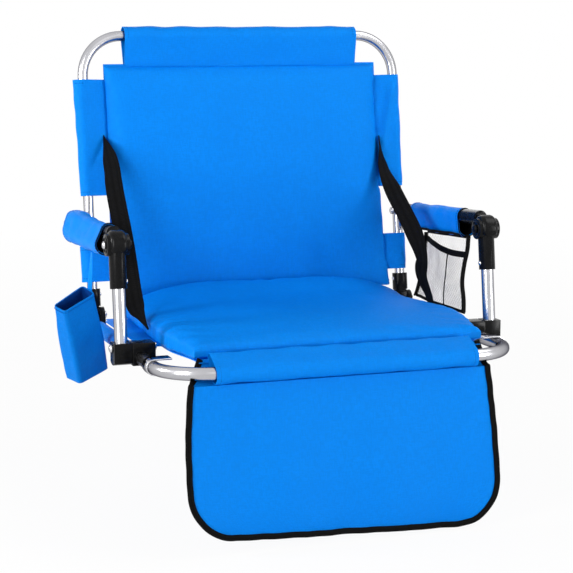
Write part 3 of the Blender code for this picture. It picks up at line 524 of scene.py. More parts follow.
def polished(node, material, body, edge=0.0007):
    """A CAD piece with its facets joined and its edges broken."""
    bm = bmesh.new()
    bm.from_mesh(NODES[node].data)
    bmesh.ops.remove_doubles(bm, verts=bm.verts, dist=0.00002)
    bmesh.ops.dissolve_limit(bm, angle_limit=radians(0.6), verts=bm.verts, edges=bm.edges)
    broken(bm, [item for item in bm.edges
                if len(item.link_faces) == 2 and item.calc_face_angle() > SHARP_EDGE], edge, 2)
    return piece(node + "_finished", bm, material, body, (node,), smooth=radians(38))


def dome(centre, axis, radius, height, skirt=0.0006):
    """A rivet or bolt head: a low dome turned about an axis."""
    bm = bmesh.new()
    across = axis.orthogonal().normalized()
    line = []
    for i in range(DOME_STEPS + 1):
        t = (pi / 2) * i / DOME_STEPS
        line.append(bm.verts.new(centre + axis * (height * cos(t)) + across * (radius * sin(t))))
    line.append(bm.verts.new(centre - axis * skirt + across * radius))
    edges = [bm.edges.new(pair) for pair in zip(line, line[1:])]
    bmesh.ops.spin(bm, geom=line + edges, cent=centre, axis=axis, angle=tau, steps=24, use_merge=True)
    bmesh.ops.remove_doubles(bm, verts=bm.verts, dist=WELD)
    return closed_ends(bm)


def merged(parts):
    """Several bmeshes as one."""
    bm = bmesh.new()
    for part in parts:
        data = as_mesh("part", part)
        bm.from_mesh(data)
        bpy.data.meshes.remove(data)
    return bm


PAD_PRESSURE = 4.0
PAD_STIFFNESS = 40.0
PAD_BENDING = 2.0
PAD_VOXEL = 0.005
PAD_REACH = 0.006
PAD_FRAMES = 20


def inflated(name, bm):
    """Fill a closed cloth shell with pressure, hold each point near its start and smooth it once."""
    made = placed(name, as_mesh(name, bm))
    remesh = made.modifiers.new("even", "REMESH")
    remesh.mode = "VOXEL"
    remesh.voxel_size = PAD_VOXEL
    made.data = evaluated_mesh(made)
    made.modifiers.clear()
    start = [vert.co.copy() for vert in made.data.vertices]
    settings = made.modifiers.new("cloth", "CLOTH").settings
    settings.use_pressure = True
    settings.uniform_pressure_force = PAD_PRESSURE
    settings.effector_weights.gravity = 0.0
    settings.tension_stiffness = PAD_STIFFNESS
    settings.compression_stiffness = PAD_STIFFNESS
    settings.bending_stiffness = PAD_BENDING
    for number in range(1, PAD_FRAMES + 1):
        bpy.context.scene.frame_set(number)
    made.data = evaluated_mesh(made)
    made.modifiers.clear()
    bpy.context.scene.frame_set(1)
    for vert, home in zip(made.data.vertices, start):
        shift = vert.co - home
        if shift.length > PAD_REACH:
            vert.co = home + shift * (PAD_REACH / shift.length)
    finer = made.modifiers.new("finer", "SUBSURF")
    finer.levels = 1
    finer.render_levels = 1
    return taken_out(made)


def tubes():
    """The aluminium tubes, round and smooth."""
    path = [Vector((a, b, RAIL_Z)) for a, b in u_bend(SIDE_X, RAIL_END, FRONT_BAR_Y, *RAIL_BEND)]
    piece("seat_tube", pipe(path, Z, RAIL_R), ALUMINIUM, "seat", ("seat_frame_tube",))
    path = [on_back(a, 0.0, b) for a, b in u_bend(SIDE_X, BACK_START, TOP_BAR_UP, *BACK_BEND)]
    piece("back_tube", pipe(path, BACK_OUT, BACK_R), ALUMINIUM, "back", ("back_frame_tube",))
    for label, side in SIDES:
        foot = Vector((side * ARM_X, FOOT.y, FOOT.z))
        post = [foot - BACK_UP * POST_FLOOR, foot + BACK_UP * POST_TOP]
        piece(label + "_post", pipe(post, BACK_OUT, ARM_R), ALUMINIUM, label + "_upright",
              (label + "_upright_tube",))
        arm = [arm_line(side, u) for u in ARM_SPAN]
        piece(label + "_arm_bar", pipe(arm, X, ARM_R), ALUMINIUM, label + "_arm", (label + "_arm_tube",))


HOOD_R = 0.0212
HOOD_HALF = 0.0128
HOOD_ROUND = 0.0075
HOOD_INNER = 0.006
HOOD_FLAT = 0.011
HOOD_EDGE = 0.0018
HOOD_SWEEP = (radians(-26), radians(138))
DISC_RING_R = 0.0112
DISC_RING_THICK = 0.0011
DISC_RING_STEPS = 40
SOCKET_SPAN = (0.0190, 0.0800)
SOCKET_R = 0.0112
BOLT_HEAD = (0.0046, 0.0016)
BOLT_CAP = (0.0066, 0.0016, 0.0030)
RIVET_HIGH = 0.0018
RIVET_PROUD = 0.0123
POST_RIVET_DOWN = 0.053
FOOT_RIVET_UP = 0.033
ARM_RIVET_AT = 0.0727
ARM_RIVET_SIDE = 0.0084
ARM_RIVET_DROP = 0.0048


def knuckle_hood(label, side):
    """The round hood of an arm's end over its knuckle, and the raised rings round the bolt's heads."""
    centre = Vector((side * ARM_X, KNUCKLE.y, KNUCKLE.z))
    flank = [(HOOD_HALF, HOOD_INNER), (HOOD_HALF, HOOD_FLAT)]
    for i in range(9):
        turn = (pi / 2) * i / 8
        flank.append((HOOD_HALF - HOOD_ROUND * (1 - cos(turn)), HOOD_R - HOOD_ROUND * (1 - sin(turn))))
    ring = flank + [(-x, reach) for x, reach in reversed(flank)]

    def place(u, v):
        x, reach = ring[round(u * len(ring)) % len(ring)]
        turn = mix(*HOOD_SWEEP, v)
        return centre + Vector((x, -cos(turn) * reach, sin(turn) * reach))

    bm = closed_ends(mapped_grid(len(ring), 36, place))
    broken(bm, [edge for edge in bm.edges if edge.calc_face_angle(0.0) > radians(70)], HOOD_EDGE, 3)
    piece(label + "_knuckle_hood", bm, PLASTIC, label + "_arm")
    low, high = (Vector(corner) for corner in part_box(label + "_knuckle"))
    turns = [tau * i / DISC_RING_STEPS for i in range(DISC_RING_STEPS)]
    for end, x in (("left", low.x), ("right", high.x)):
        rim = [Vector((x, centre.y + DISC_RING_R * cos(t), centre.z + DISC_RING_R * sin(t))) for t in turns]
        bound_rim(label + "_knuckle_" + end + "_ring", rim, DISC_RING_THICK, label + "_upright", PLASTIC)


def fittings():
    """The black mouldings, bolts and rivets."""
    for label, side in SIDES:
        upright, arm = label + "_upright", label + "_arm"
        for node, body in ((label + "_rail_clamp", "seat"), (label + "_hinge_bracket", "seat"),
                           (label + "_back_foot", "back"), (label + "_arm_spacer", "back"),
                           (label + "_foot_block", upright), (label + "_knuckle", upright),
                           (label + "_arm_eye", arm), (label + "_arm_rear_plug", arm)):
            polished(node, PLASTIC, body)
        for node, body in ((label + "_foot_bolt", "seat"), (label + "_hinge_bolt", "seat"),
                           (label + "_arm_bolt", "back"), (label + "_knuckle_bolt", upright)):
            low, high = (Vector(corner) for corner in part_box(node))
            middle = (low + high) / 2
            polished(node, STEEL, body, edge=0.0009)
            capped = node.endswith("knuckle_bolt")
            heads = [dome(Vector((x, middle.y, middle.z)), X * way, *BOLT_HEAD)
                     for x, way in ((low.x, -1), (high.x, 1)) if way == side or not capped]
            piece(node + "_domes", merged(heads), STEEL, body)
            if capped:
                end = Vector((low.x if side > 0 else high.x, middle.y, middle.z))
                piece(node + "_cap", dome(end, X * -side, *BOLT_CAP), PLASTIC, body)
        inner = Vector((-side, 0, 0))
        foot = Vector((side * ARM_X, FOOT.y, FOOT.z))
        on_post = foot + BACK_UP * (LINK - POST_RIVET_DOWN) + inner * RIVET_PROUD
        on_foot = on_back(side * (SIDE_X - RIVET_PROUD), 0.0, FOOT_RIVET_UP)
        on_arm = arm_line(side, ARM_RIVET_AT) + inner * ARM_RIVET_SIDE - Z * ARM_RIVET_DROP
        for part, spot, axis, radius, body in (
                ("_post_rivet", on_post, inner, 0.0036, upright),
                ("_foot_rivet", on_foot, inner, 0.0034, "back"),
                ("_arm_rivet", on_arm, (inner - Z * 0.5).normalized(), 0.0032, arm)):
            piece(label + part, dome(spot, axis, radius, RIVET_HIGH), STEEL, body)
        polished(label + "_bench_hook", STEEL, label + "_hook", edge=0.0004)
        knuckle_hood(label, side)
    socket = [arm_line(1, mix(*SOCKET_SPAN, i / 4)) for i in range(5)]
    piece("right_arm_socket", pipe(socket, X, SOCKET_R), PLASTIC, "right_arm")


BACK_PAD_UP = (0.0140, 0.4028)
BACK_PAD_HALF = (0.2440, 0.2425, 0.2402, 0.2384, 0.2380)
BACK_PAD_SKEW = (0.0040, 0.0025, 0.0003, -0.0014, -0.0022)
BACK_PAD_FACE = 0.0013
BACK_PAD_EDGE = 0.0065
BACK_PAD_CROWN = 0.0190
BACK_PAD_THIN = 0.42
WRAP_SLOPE = 0.27
SEAT_PAD_Y = (-0.1965, 0.1880)
SEAT_PAD_HALF = (0.2245, 0.2410, 0.2400, 0.2365, 0.2310)
SEAT_PAD_BASE = 0.0230
SEAT_PAD_EDGE = (0.0165, 0.0250, 0.0245, 0.0275, 0.0490)
SEAT_PAD_CROWN = 0.0070
SEAT_REAR_FALL = 0.58
SEAT_PAD_SHIFT = 0.0025
PAD_SHRINK = 0.0015
PAD_FULL = 0.75
PAD_TOP_FROM = 0.004
SEAM_IN = 0.0050
SEAM_WIDE = 0.0020
SEAM_STEPS = 40
SEAM_DROP_FROM = 0.12
SEAM_LIFT = 0.0002


def pad_block(span, halves, height, place):
    """A shallow closed block with a bowed top, a little smaller than the finished pad."""
    bm = bmesh.new()
    bmesh.ops.create_grid(bm, x_segments=60, y_segments=48, size=1.0)
    low = list(bm.verts)
    lifted = bmesh.ops.extrude_face_region(bm, geom=list(bm.faces))
    high = [item for item in lifted["geom"] if isinstance(item, bmesh.types.BMVert)]
    for verts, top in ((low, False), (high, True)):
        for vert in verts:
            u, t = vert.co.x, (vert.co.y + 1) / 2
            across = u * (through(halves, t) - PAD_SHRINK)
            along = mix(span[0] + PAD_SHRINK, span[1] - PAD_SHRINK, t)
            vert.co = place(across, along, height(u, t) if top else 0.0)
    bmesh.ops.recalc_face_normals(bm, faces=bm.faces)
    return bm


def bowed(u, t):
    """A crown that is full in the middle and fades to nothing at the outline."""
    return (max(0.0, 1 - u ** 2) ** PAD_FULL) * (max(0.0, 1 - (2 * t - 1) ** 2) ** PAD_FULL)


def within(span, halves, across, along):
    """How far a place on a pad lies inside its outline."""
    t = (along - span[0]) / (span[1] - span[0])
    return min(through(halves, t) - abs(across), along - span[0], span[1] - along)


def pressed_seam(bm, span, halves, local, push, depth):
    """Draw the cloth in along a line that runs just inside the pad's outline."""
    for vert in bm.verts:
        across, along, height = local(vert.co)
        if height < PAD_TOP_FROM:
            continue
        inside = within(span, halves, across, along)
        vert.co += push * (depth * exp(-((inside - SEAM_IN) / SEAM_WIDE) ** 2))


def seam_rows(name, bm, span, halves, place, drop, body, sides=("front", "rear", "left", "right")):
    """Stitches along the pressed seam, dropped onto the pad's surface."""
    tree = BVHTree.FromBMesh(bm)
    lines = []
    for edge in sides:
        line = []
        for i in range(SEAM_STEPS + 1):
            s = i / SEAM_STEPS
            if edge in ("front", "rear"):
                t = 0.0 if edge == "front" else 1.0
                along = span[0] + SEAM_IN if edge == "front" else span[1] - SEAM_IN
                across = mix(-1, 1, s) * (through(halves, t) - SEAM_IN)
            else:
                along = mix(span[0] + SEAM_IN, span[1] - SEAM_IN, s)
                t = (along - span[0]) / (span[1] - span[0])
                across = (-1 if edge == "left" else 1) * (through(halves, t) - SEAM_IN)
            line.append((across, along))
        lines.append(line)
    spots = []
    for line in lines:
        for (a0, b0), (a1, b1) in zip(line, line[1:]):
            length = sqrt((a1 - a0) ** 2 + (b1 - b0) ** 2)
            steps = max(1, round(length / STITCH_PITCH))
            for i in range(steps):
                s = (i + 0.5) / steps
                origin = place(mix(a0, a1, s), mix(b0, b1, s), SEAM_DROP_FROM)
                hit, normal, _, _ = tree.ray_cast(origin, drop)
                if hit is None:
                    continue
                run = place(a1, b1, 0.0) - place(a0, b0, 0.0)
                run = run - normal * run.dot(normal)
                spots.append((hit + normal * SEAM_LIFT, run, normal))
    return stitches(name, spots, body)


def back_cushion():
    """The back pad: a thin foam panel with a stitched border."""
    def skew(along):
        return through(BACK_PAD_SKEW, (along - BACK_PAD_UP[0]) / (BACK_PAD_UP[1] - BACK_PAD_UP[0]))

    def place(across, along, height):
        return on_back(across + skew(along), -BACK_PAD_FACE - height, along)

    def local(point):
        away = point - HINGE
        along = away.dot(BACK_UP)
        return point.x - skew(along), along, -away.dot(BACK_OUT) - BACK_PAD_FACE

    def height(u, t):
        return BACK_PAD_EDGE + BACK_PAD_CROWN * bowed(u, t)

    bm = inflated("back_pad_shell", pad_block(BACK_PAD_UP, BACK_PAD_HALF, height, place))
    for vert in bm.verts:
        across, along, deep = local(vert.co)
        inside = within(BACK_PAD_UP, BACK_PAD_HALF, across, along)
        thin = deep * mix(BACK_PAD_THIN, 1.0, ease(inside / 0.016))
        vert.co -= BACK_OUT * (thin - deep + WRAP_SLOPE * max(0.0, abs(vert.co.x) - WRAP_INNER_X))
        deep = thin
        if deep > PAD_TOP_FROM:
            soft = ripple((across, along, 0.0), 0.09, 3.0) * 0.0016
            vert.co -= BACK_OUT * (soft + ripple((across, along, 0.0), 0.035, 9.0) * 0.0004)
    pressed_seam(bm, BACK_PAD_UP, BACK_PAD_HALF, local, BACK_OUT, 0.0007)
    rows = seam_rows("back_pad_stitches", bm, BACK_PAD_UP, BACK_PAD_HALF, place, BACK_OUT, "back")
    made = piece("back_cushion", bm, BLUE_BACK, "back", ("back_pad",), smooth=None, recalc=False)
    for part in (made, rows):
        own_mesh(part)


def seat_cushion():
    """The seat pad: thin in front, thick at the back, drawn in at the corners and by the straps."""
    def place(across, along, height):
        return Vector((across + SEAT_PAD_SHIFT, along, SEAT_PAD_BASE + height))

    def local(point):
        return point.x - SEAT_PAD_SHIFT, point.y, point.z - SEAT_PAD_BASE

    def height(u, t):
        fall = 1 - SEAT_REAR_FALL * u ** 4 * ease((t - 0.4) / 0.6)
        return through(SEAT_PAD_EDGE, t) * fall + SEAT_PAD_CROWN * bowed(u, t)

    bm = inflated("seat_pad_shell", pad_block(SEAT_PAD_Y, SEAT_PAD_HALF, height, place))
    for vert in bm.verts:
        across, along, up = local(vert.co)
        if up > PAD_TOP_FROM:
            soft = ripple((across, along, 0.0), 0.08, 5.0) * 0.0018
            side = ease((abs(across) - 0.150) / 0.070)
            bent = 3.0 * ripple((across, along, 0.0), 0.05, 2.0)
            folds = side * sin(along * 230.0 + across * 90.0 + bent)
            vert.co.z += soft + 0.0006 * folds * ease((0.060 - along) / 0.060)
    pressed_seam(bm, SEAT_PAD_Y, SEAT_PAD_HALF, local, -Z, 0.0014)
    rows = seam_rows("seat_pad_stitches", bm, SEAT_PAD_Y, SEAT_PAD_HALF, place, -Z, "seat",
                     ("front", "left", "right"))
    made = piece("seat_cushion", bm, BLUE_SEAT, "seat", ("seat_pad",), smooth=None, recalc=False)
    for part in (made, rows):
        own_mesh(part)


SEAT_SHEET_Y = (-0.2035, 0.184)
SEAT_SHEET_Z = 0.0215
BACK_SHEET_UP = (0.040, 0.3985)
BACK_SHEET_HALF = 0.2325
BACK_SHEET_SLACK = 0.0070
BACK_HEM_UP = (0.0410, 0.3830)
BACK_HEM_HALF = (0.2220, 0.2220)
SHEET_T = 0.0014


def seat_sheet_half(y):
    """Half the width of the seat's sheet: wide between the rail wraps, cut in beside the clamps."""
    front = mix(0.214, 0.2285, ease((y + 0.193) / 0.100))
    wide = 0.2575 if y < 0.166 else 0.2520
    return mix(front, wide, ease((y + 0.062) / 0.008))


def slings():
    """The stretched sheets under the two pads."""
    def seat_place(u, v):
        y = mix(*SEAT_SHEET_Y, v)
        x = (2 * u - 1) * seat_sheet_half(y)
        sag = -0.0012 * cos(pi * (u - 0.5)) * cos(pi * (v - 0.5))
        return Vector((x, y, SEAT_SHEET_Z + sag + SHEET_T / 2))

    def back_place(u, v):
        up = mix(*BACK_SHEET_UP, v)
        x = (2 * u - 1) * BACK_SHEET_HALF
        slack = max(0.0, ripple((x * 0.6, up, 0.0), 0.10, 4.0)) * sin(pi * u) * sin(pi * v)
        out = -0.0002 + 0.0006 * ripple((x, up, 0.0), 0.06, 4.0) + BACK_SHEET_SLACK * slack
        return on_back(x, out, up)

    sheets = (("seat_sheet", seat_place, "seat", "seat_sling", (0.515, 0.3875)),
              ("back_sheet", back_place, "back", "back_sling", (0.465, 0.3585)))
    for name, place, body, node, flat in sheets:
        bm = mapped_grid(60, 120, place)
        area = sum(face.calc_area() for face in bm.faces)
        thickened(bm, SHEET_T)
        if body == "back":
            seam_rows("back_sheet_stitches", bm, BACK_HEM_UP, BACK_HEM_HALF,
                      lambda across, along, out: on_back(across, out, along), -BACK_OUT, body)
        made = piece(name, bm, BLUE, body, (node,), recalc=False)


def cloth_loop(name, section, along, body, node, cells, wrinkle, seed, hem, slant=None):
    """A cloth tunnel: a closed section, run along a line, with soft wrinkles.

    The stitch spots of its two hems come with it, and the function that places its points.
    """
    span = along["span"]

    def place(u, v):
        s = mix(span[0], span[1], u)
        flat = section(v, u)
        point = along["place"](flat, s if slant is None else s + slant(u, v))
        near_end = min(u, 1 - u) * (span[1] - span[0])
        loose = wrinkle * ripple(point, 0.030, seed) * (0.5 + 0.5 * ease(near_end / 0.012))
        away = along["place"](section(v, u, 0.001), s) - along["place"](flat, s)
        return point + away.normalized() * loose

    made = piece(name, thickened(mapped_grid(*cells, place), CLOTH), BLUE, body, (node,), recalc=False)
    share = hem / (span[1] - span[0])
    rows = []
    for u in (share, 1 - share):
        rows += row_on(place, (u, 0.0), (u, 1.0), along["flip"])
    return made, rows, place


def wrap(name, section, along, body, node, cells, wrinkle, seed, hem=0.006):
    """A cloth tunnel with its hems stitched."""
    _, rows, _ = cloth_loop(name, section, along, body, node, cells, wrinkle, seed, hem)
    stitches(name + "_stitches", rows, body)


WRAP_FIT = {"left_upper": ((0.0010, 0.0108), (0.0046, 0.0120)), "left_lower": ((0.0040, 0.0125),) * 2,
            "right_upper": ((0.0, 0.0100),) * 2, "right_lower": ((0.0, 0.0108),) * 2}
WRAP_SPAN = {"left_upper": (0.190, 0.374), "left_lower": (0.053, 0.110),
             "right_upper": (0.190, 0.3768), "right_lower": (0.050, 0.110)}
FOLD_X = (0.2390, 0.2650)
FOLD_UP = (0.2450, 0.3740)
FOLD_HIGH = 0.0050
FOLD_WIDE = 0.0065
WRAP_INNER_X = 0.2285
WRAP_INNER_OUT = 0.0022
WRAP_INNER_R = 0.0030
RAIL_WRAP_R = 0.0112
TOP_WRAP_R = 0.0150
TOP_WRAP_DEEP = 0.052
FRONT_LOOP = ((FRONT_BAR_Y, 0.0100), 0.0140, (FRONT_BAR_Y + 0.024, 0.0290), 0.0066)


def drawn_fold(flat, s):
    """How far the slack strap draws a slanting fold out of the front of the right upper wrap."""
    if flat.y > 0.0:
        return 0.0
    line = mix(*FOLD_X, (s - FOLD_UP[0]) / (FOLD_UP[1] - FOLD_UP[0]))
    ends = ease((s - FOLD_UP[0]) / 0.025) * ease((FOLD_UP[1] - s) / 0.035)
    return FOLD_HIGH * ends * exp(-((flat.x - line) / FOLD_WIDE) ** 2)


def wraps():
    """The cloth tunnels round the rails, the front bar, the back's sides and its top bar."""
    for label, side in SIDES:
        def rail_section(v, u, offset=0.0):
            turn = tau * v
            return Vector((cos(turn), sin(turn))) * (RAIL_WRAP_R + offset)

        rail = {"span": (-0.056, 0.168),
                "place": lambda flat, s: Vector((side * (SIDE_X + flat.x), s, RAIL_Z + flat.y)),
                "flip": -side}
        wrap(label + "_rail_wrap", rail_section, rail, "seat", label + "_seat_sleeve", (56, 28), 0.0007,
             side * 2.0, hem=0.005)
        for part in ("upper", "lower"):
            inner = (WRAP_INNER_X, WRAP_INNER_OUT)
            foot, head = (belt((SIDE_X + out, 0.0), round_tube, inner, WRAP_INNER_R)
                          for out, round_tube in WRAP_FIT[label + "_" + part])

            def side_section(v, u, offset=0.0):
                return foot(v, offset).lerp(head(v, offset), u)

            def on_side(flat, s):
                pulled = drawn_fold(flat, s) if side > 0 and part == "upper" else 0.0
                return on_back(side * flat.x, flat.y - pulled, s)

            run = {"span": WRAP_SPAN[label + "_" + part], "place": on_side, "flip": side}
            name = label + "_" + part + "_side_"
            wrap(name + "wrap", side_section, run, "back", name + "sleeve",
                 (48 if part == "upper" else 18, 40), 0.0013, side * 4.0 + len(part))

    inner = (WRAP_INNER_OUT, TOP_BAR_UP - TOP_WRAP_DEEP)
    top_line = belt((0.0, TOP_BAR_UP), TOP_WRAP_R, inner, WRAP_INNER_R)
    top = {"span": (-0.198, 0.198), "place": lambda flat, s: on_back(s, flat.x, flat.y), "flip": 1.0}
    wrap("top_wrap", lambda v, u, offset=0.0: top_line(v, offset), top, "back", "top_sleeve", (100, 48),
         0.0014, 11.0)

    front_line = belt(*FRONT_LOOP)
    front = {"span": (-0.200, 0.194), "place": lambda flat, s: Vector((s, flat.x, flat.y)), "flip": 1.0}
    wrap("front_wrap", lambda v, u, offset=0.0: front_line(v, offset), front, "seat", "front_sleeve",
         (110, 52), 0.0016, 7.0)


COVER_SPAN = {"left": (0.044, 0.252), "right": (0.076, 0.266)}
COVER_LINE = ((0.0, 0.0), 0.0118, (0.006, -0.0185), 0.0150)
COVER_SPREAD = {"left": (0.0015, 0.0080), "right": (0.0, 0.0015)}
COVER_LIFT = {"left": (0.0045, 0.0112), "right": (0.0010, 0.0015)}
COVER_SLANT = {"left": -0.05, "right": 0.05}
COVER_CELLS = 48
TAPE_STEPS = 12
TAPE_CELLS = 60


def arm_covers():
    """The loose cloth covers of the arms, with black sheets inside them as painted shade, and bound front
    ends.
    """
    for label, side in SIDES:
        line = belt(*COVER_LINE)
        spread, lift = COVER_SPREAD[label], COVER_LIFT[label]
        body = label + "_arm"

        def section(v, u, offset=0.0):
            flat = line(v, offset)
            loose = ease((u - 0.25) / 0.75)
            upper = ease((flat.y + 0.0335) / 0.045)
            outer = ease((flat.x + 0.0118) / 0.0236)
            x = flat.x + loose * outer * mix(*spread, upper)
            return Vector((x, flat.y + loose * mix(*lift, upper)))

        def slant(u, v):
            return (1 - u) * COVER_SLANT[label] * max(0.0, 0.010 - section(v, u).y)

        run = {"span": COVER_SPAN[label], "flip": side,
               "place": lambda flat, s: arm_line(side, s) + Vector((side * flat.x, 0, flat.y))}
        made, rows, place = cloth_loop(label + "_cover", section, run, body, label + "_arm_cover",
                                       (60, COVER_CELLS), 0.0024, side * 6.0, 0.006, slant)
        middle = arm_line(side, sum(COVER_SPAN[label]) / 2) - Z * 0.010

        # A black sheet just inside each cover, as painted shade for the dark inside of its mouth.
        def shade_sheet_place(u, v):
            point = place(mix(0.01, 0.99, u), v)
            centre = Vector((middle.x + side * 0.003, point.y, middle.z))
            return point + (centre - point).normalized() * 0.0021

        shade_lining = piece(label + "_cover_shade_lining", thickened(mapped_grid(30, COVER_CELLS, shade_sheet_place), 0.0004),
                       BLACK_SHADE_LINING, body, recalc=False)
        rim = [place(0.0, i / COVER_CELLS) for i in range(COVER_CELLS)]
        pieces = [made, shade_lining, stitches(label + "_cover_stitches", rows, body),
                  bound_rim(label + "_cover_front_edge", rim, 0.0010, body)]
        if side > 0:
            pieces.append(lower_binding(place))
        for part in pieces:
            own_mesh(part)


def lower_binding(place):
    """Black tape along the right cover's lower inner edge, where the pocket is sewn on."""
    low = min(range(96), key=lambda i: place(0.5, i / 96).z + place(0.5, i / 96).x * 1.2) / 96
    spots = [place(i / TAPE_STEPS, low) - Vector((0.0018, 0, 0.0018)) for i in range(TAPE_STEPS + 1)]
    strip = ribbon(spots, [(Z - X).normalized()] * len(spots), 0.0058, 0.0016, TAPE_CELLS)
    return piece("right_cover_lower_binding", strip, TAPE, "right_arm")


def bound_rim(name, rim, radius, body, material=TAPE):
    """A thin rolled edge along a closed line of points."""
    count = len(rim)

    def place(u, v):
        i = round(u * count) % count
        along = (rim[(i + 1) % count] - rim[i - 1]).normalized()
        across = along.orthogonal().normalized()
        up = along.cross(across)
        return rim[i] + (across * cos(tau * v) + up * sin(tau * v)) * radius

    return piece(name, mapped_grid(count, 8, place), material, body)


POUCH_SIZE = (0.058, 0.036, 0.124)
POUCH_CORNER = 0.0060
POUCH_NARROW = 0.24
POUCH_STITCHED = 0.972
POUCH_RIM = (-0.0020, 0.0040, 0.0020, 0.0035)
POUCH_AT = Vector((-0.324, 0.045, 0.0225))
POUCH_TILT = (Matrix.Rotation(radians(-12.0), 3, "Y") @ Matrix.Rotation(radians(15.0), 3, "X")
              @ Matrix.Rotation(radians(24.0), 3, "Z"))


def pouch():
    """An open cloth pouch with a folded rim, hung by one strap from the left arm's cover."""
    wide, deep, tall = POUCH_SIZE

    def outline(share, grow=0.0):
        """A rectangle with round corners, by share of its length."""
        c = POUCH_CORNER
        w, d = wide / 2 - c, deep / 2 - c
        corners = [(Vector((sx * w, sy * d)), i * pi / 2)
                   for i, (sx, sy) in enumerate(((1, 1), (-1, 1), (-1, -1), (1, -1)))]
        lengths = [c * pi / 2, 2 * w, c * pi / 2, 2 * d] * 2
        s = (share % 1.0) * sum(lengths)
        for k, length in enumerate(lengths):
            if s <= length:
                break
            s -= length
        centre, start = corners[k // 2]
        if k % 2 == 0:
            turn = start + s / c
            return centre + Vector((cos(turn), sin(turn))) * (c + grow)
        out = Vector((cos(start + pi / 2), sin(start + pi / 2))) * (c + grow)
        return (centre + out).lerp(corners[(k // 2 + 1) % 4][0] + out, s / length)

    def wall(u, v, grow=0.0):
        bulge = 0.0016 * sin(pi * v) + 0.0010 * ripple((u * 3.0, v * 3.0, 0.0), 0.6, 1.0)
        flat = outline(u, grow + bulge)
        right, rear = flat.x / wide + 0.5, flat.y / deep + 0.5
        first, by_right, by_rear, by_both = POUCH_RIM
        rise = ease((v - 0.6) / 0.4) * (first + by_right * right + by_rear * rear + by_both * right * rear)
        flat.y *= 1 - POUCH_NARROW * ease((v - 0.25) / 0.75)
        return POUCH_AT + POUCH_TILT @ Vector((flat.x, flat.y, (v - 0.5) * tall + rise))

    bm = closed_bottom(mapped_grid(96, 40, wall), POUCH_TILT)
    # The shell and hem take the blue cloth darkened as painted shade.
    made = piece("pouch_shell", thickened(bm, 0.0013), BLUE_POUCH_PAINTED_SHADE, "pouch", ("pouch",), recalc=False)
    bm = mapped_grid(96, 6, lambda u, v: wall(u, mix(0.965, 1.0, v), 0.0002))
    piece("pouch_hem", thickened(bm, 0.0003), BLUE_POUCH_PAINTED_SHADE, "pouch", recalc=False)
    bm = mapped_grid(96, 20, lambda u, v: wall(u, mix(0.30, 0.995, v), -0.0015))
    piece("pouch_lining", thickened(bm, 0.0004), LINING, "pouch", recalc=False)
    rows = row_on(lambda u, v: wall(u, v, 0.0005), (0.0, POUCH_STITCHED), (1.0, POUCH_STITCHED))
    stitches("pouch_hem_stitches", rows, "pouch")

    face = wide / 2 + 0.0010
    tops = [POUCH_AT + POUCH_TILT @ Vector((face, 0, tall / 2 - drop)) for drop in (0.018, 0.009, 0.0)]
    points = tops + [tops[-1].lerp(POUCH_HANG + Z * 0.0035 - X * 0.0020, t) for t in (0.33, 0.66, 1.0)]
    turned = POUCH_TILT @ Y
    strip = ribbon(points, [turned] * 4 + [turned.lerp(Y, 0.5), Y], 0.010, 0.0014, 30)
    piece("pouch_hanger", strip, BLUE, "pouch", ("pouch_strap",))


def closed_bottom(bm, tilt):
    """Fill the lower of the two open ends of a bag's wall."""
    rims = open_edges(bm)
    heights = {edge: (tilt.transposed() @ edge.verts[0].co).z for edge in rims}
    middle = (max(heights.values()) + min(heights.values())) / 2
    low = [edge for edge in rims if heights[edge] < middle]
    bmesh.ops.contextual_create(bm, geom=low)
    return bm


def ribbon(points, across, width, thick, cells, swell=None):
    """A flat strap through points, with its width along the way given at each, and rounded edges."""
    def place(u, v):
        point = through(points, u)
        along = (through(points, u + 0.01) - through(points, u - 0.01)).normalized()
        wide = through(across, u)
        wide = (wide - along * wide.dot(along)).normalized()
        out = along.cross(wide)
        half = width / 2 * (swell(u) if swell else 1.0)
        turn = tau * v
        edge = abs(cos(turn)) ** 0.35 * (1 if cos(turn) >= 0 else -1)
        rise = abs(sin(turn)) ** 0.6 * (1 if sin(turn) >= 0 else -1)
        return point + wide * (edge * half) + out * (rise * thick / 2)

    return closed_ends(mapped_grid(cells, 24, place))


STRAP_W = 0.0280
STRAP_T = 0.0016
STRAP_TIP = 0.10
STRAP_FACING = Vector((0.33, 0.93, -0.15))


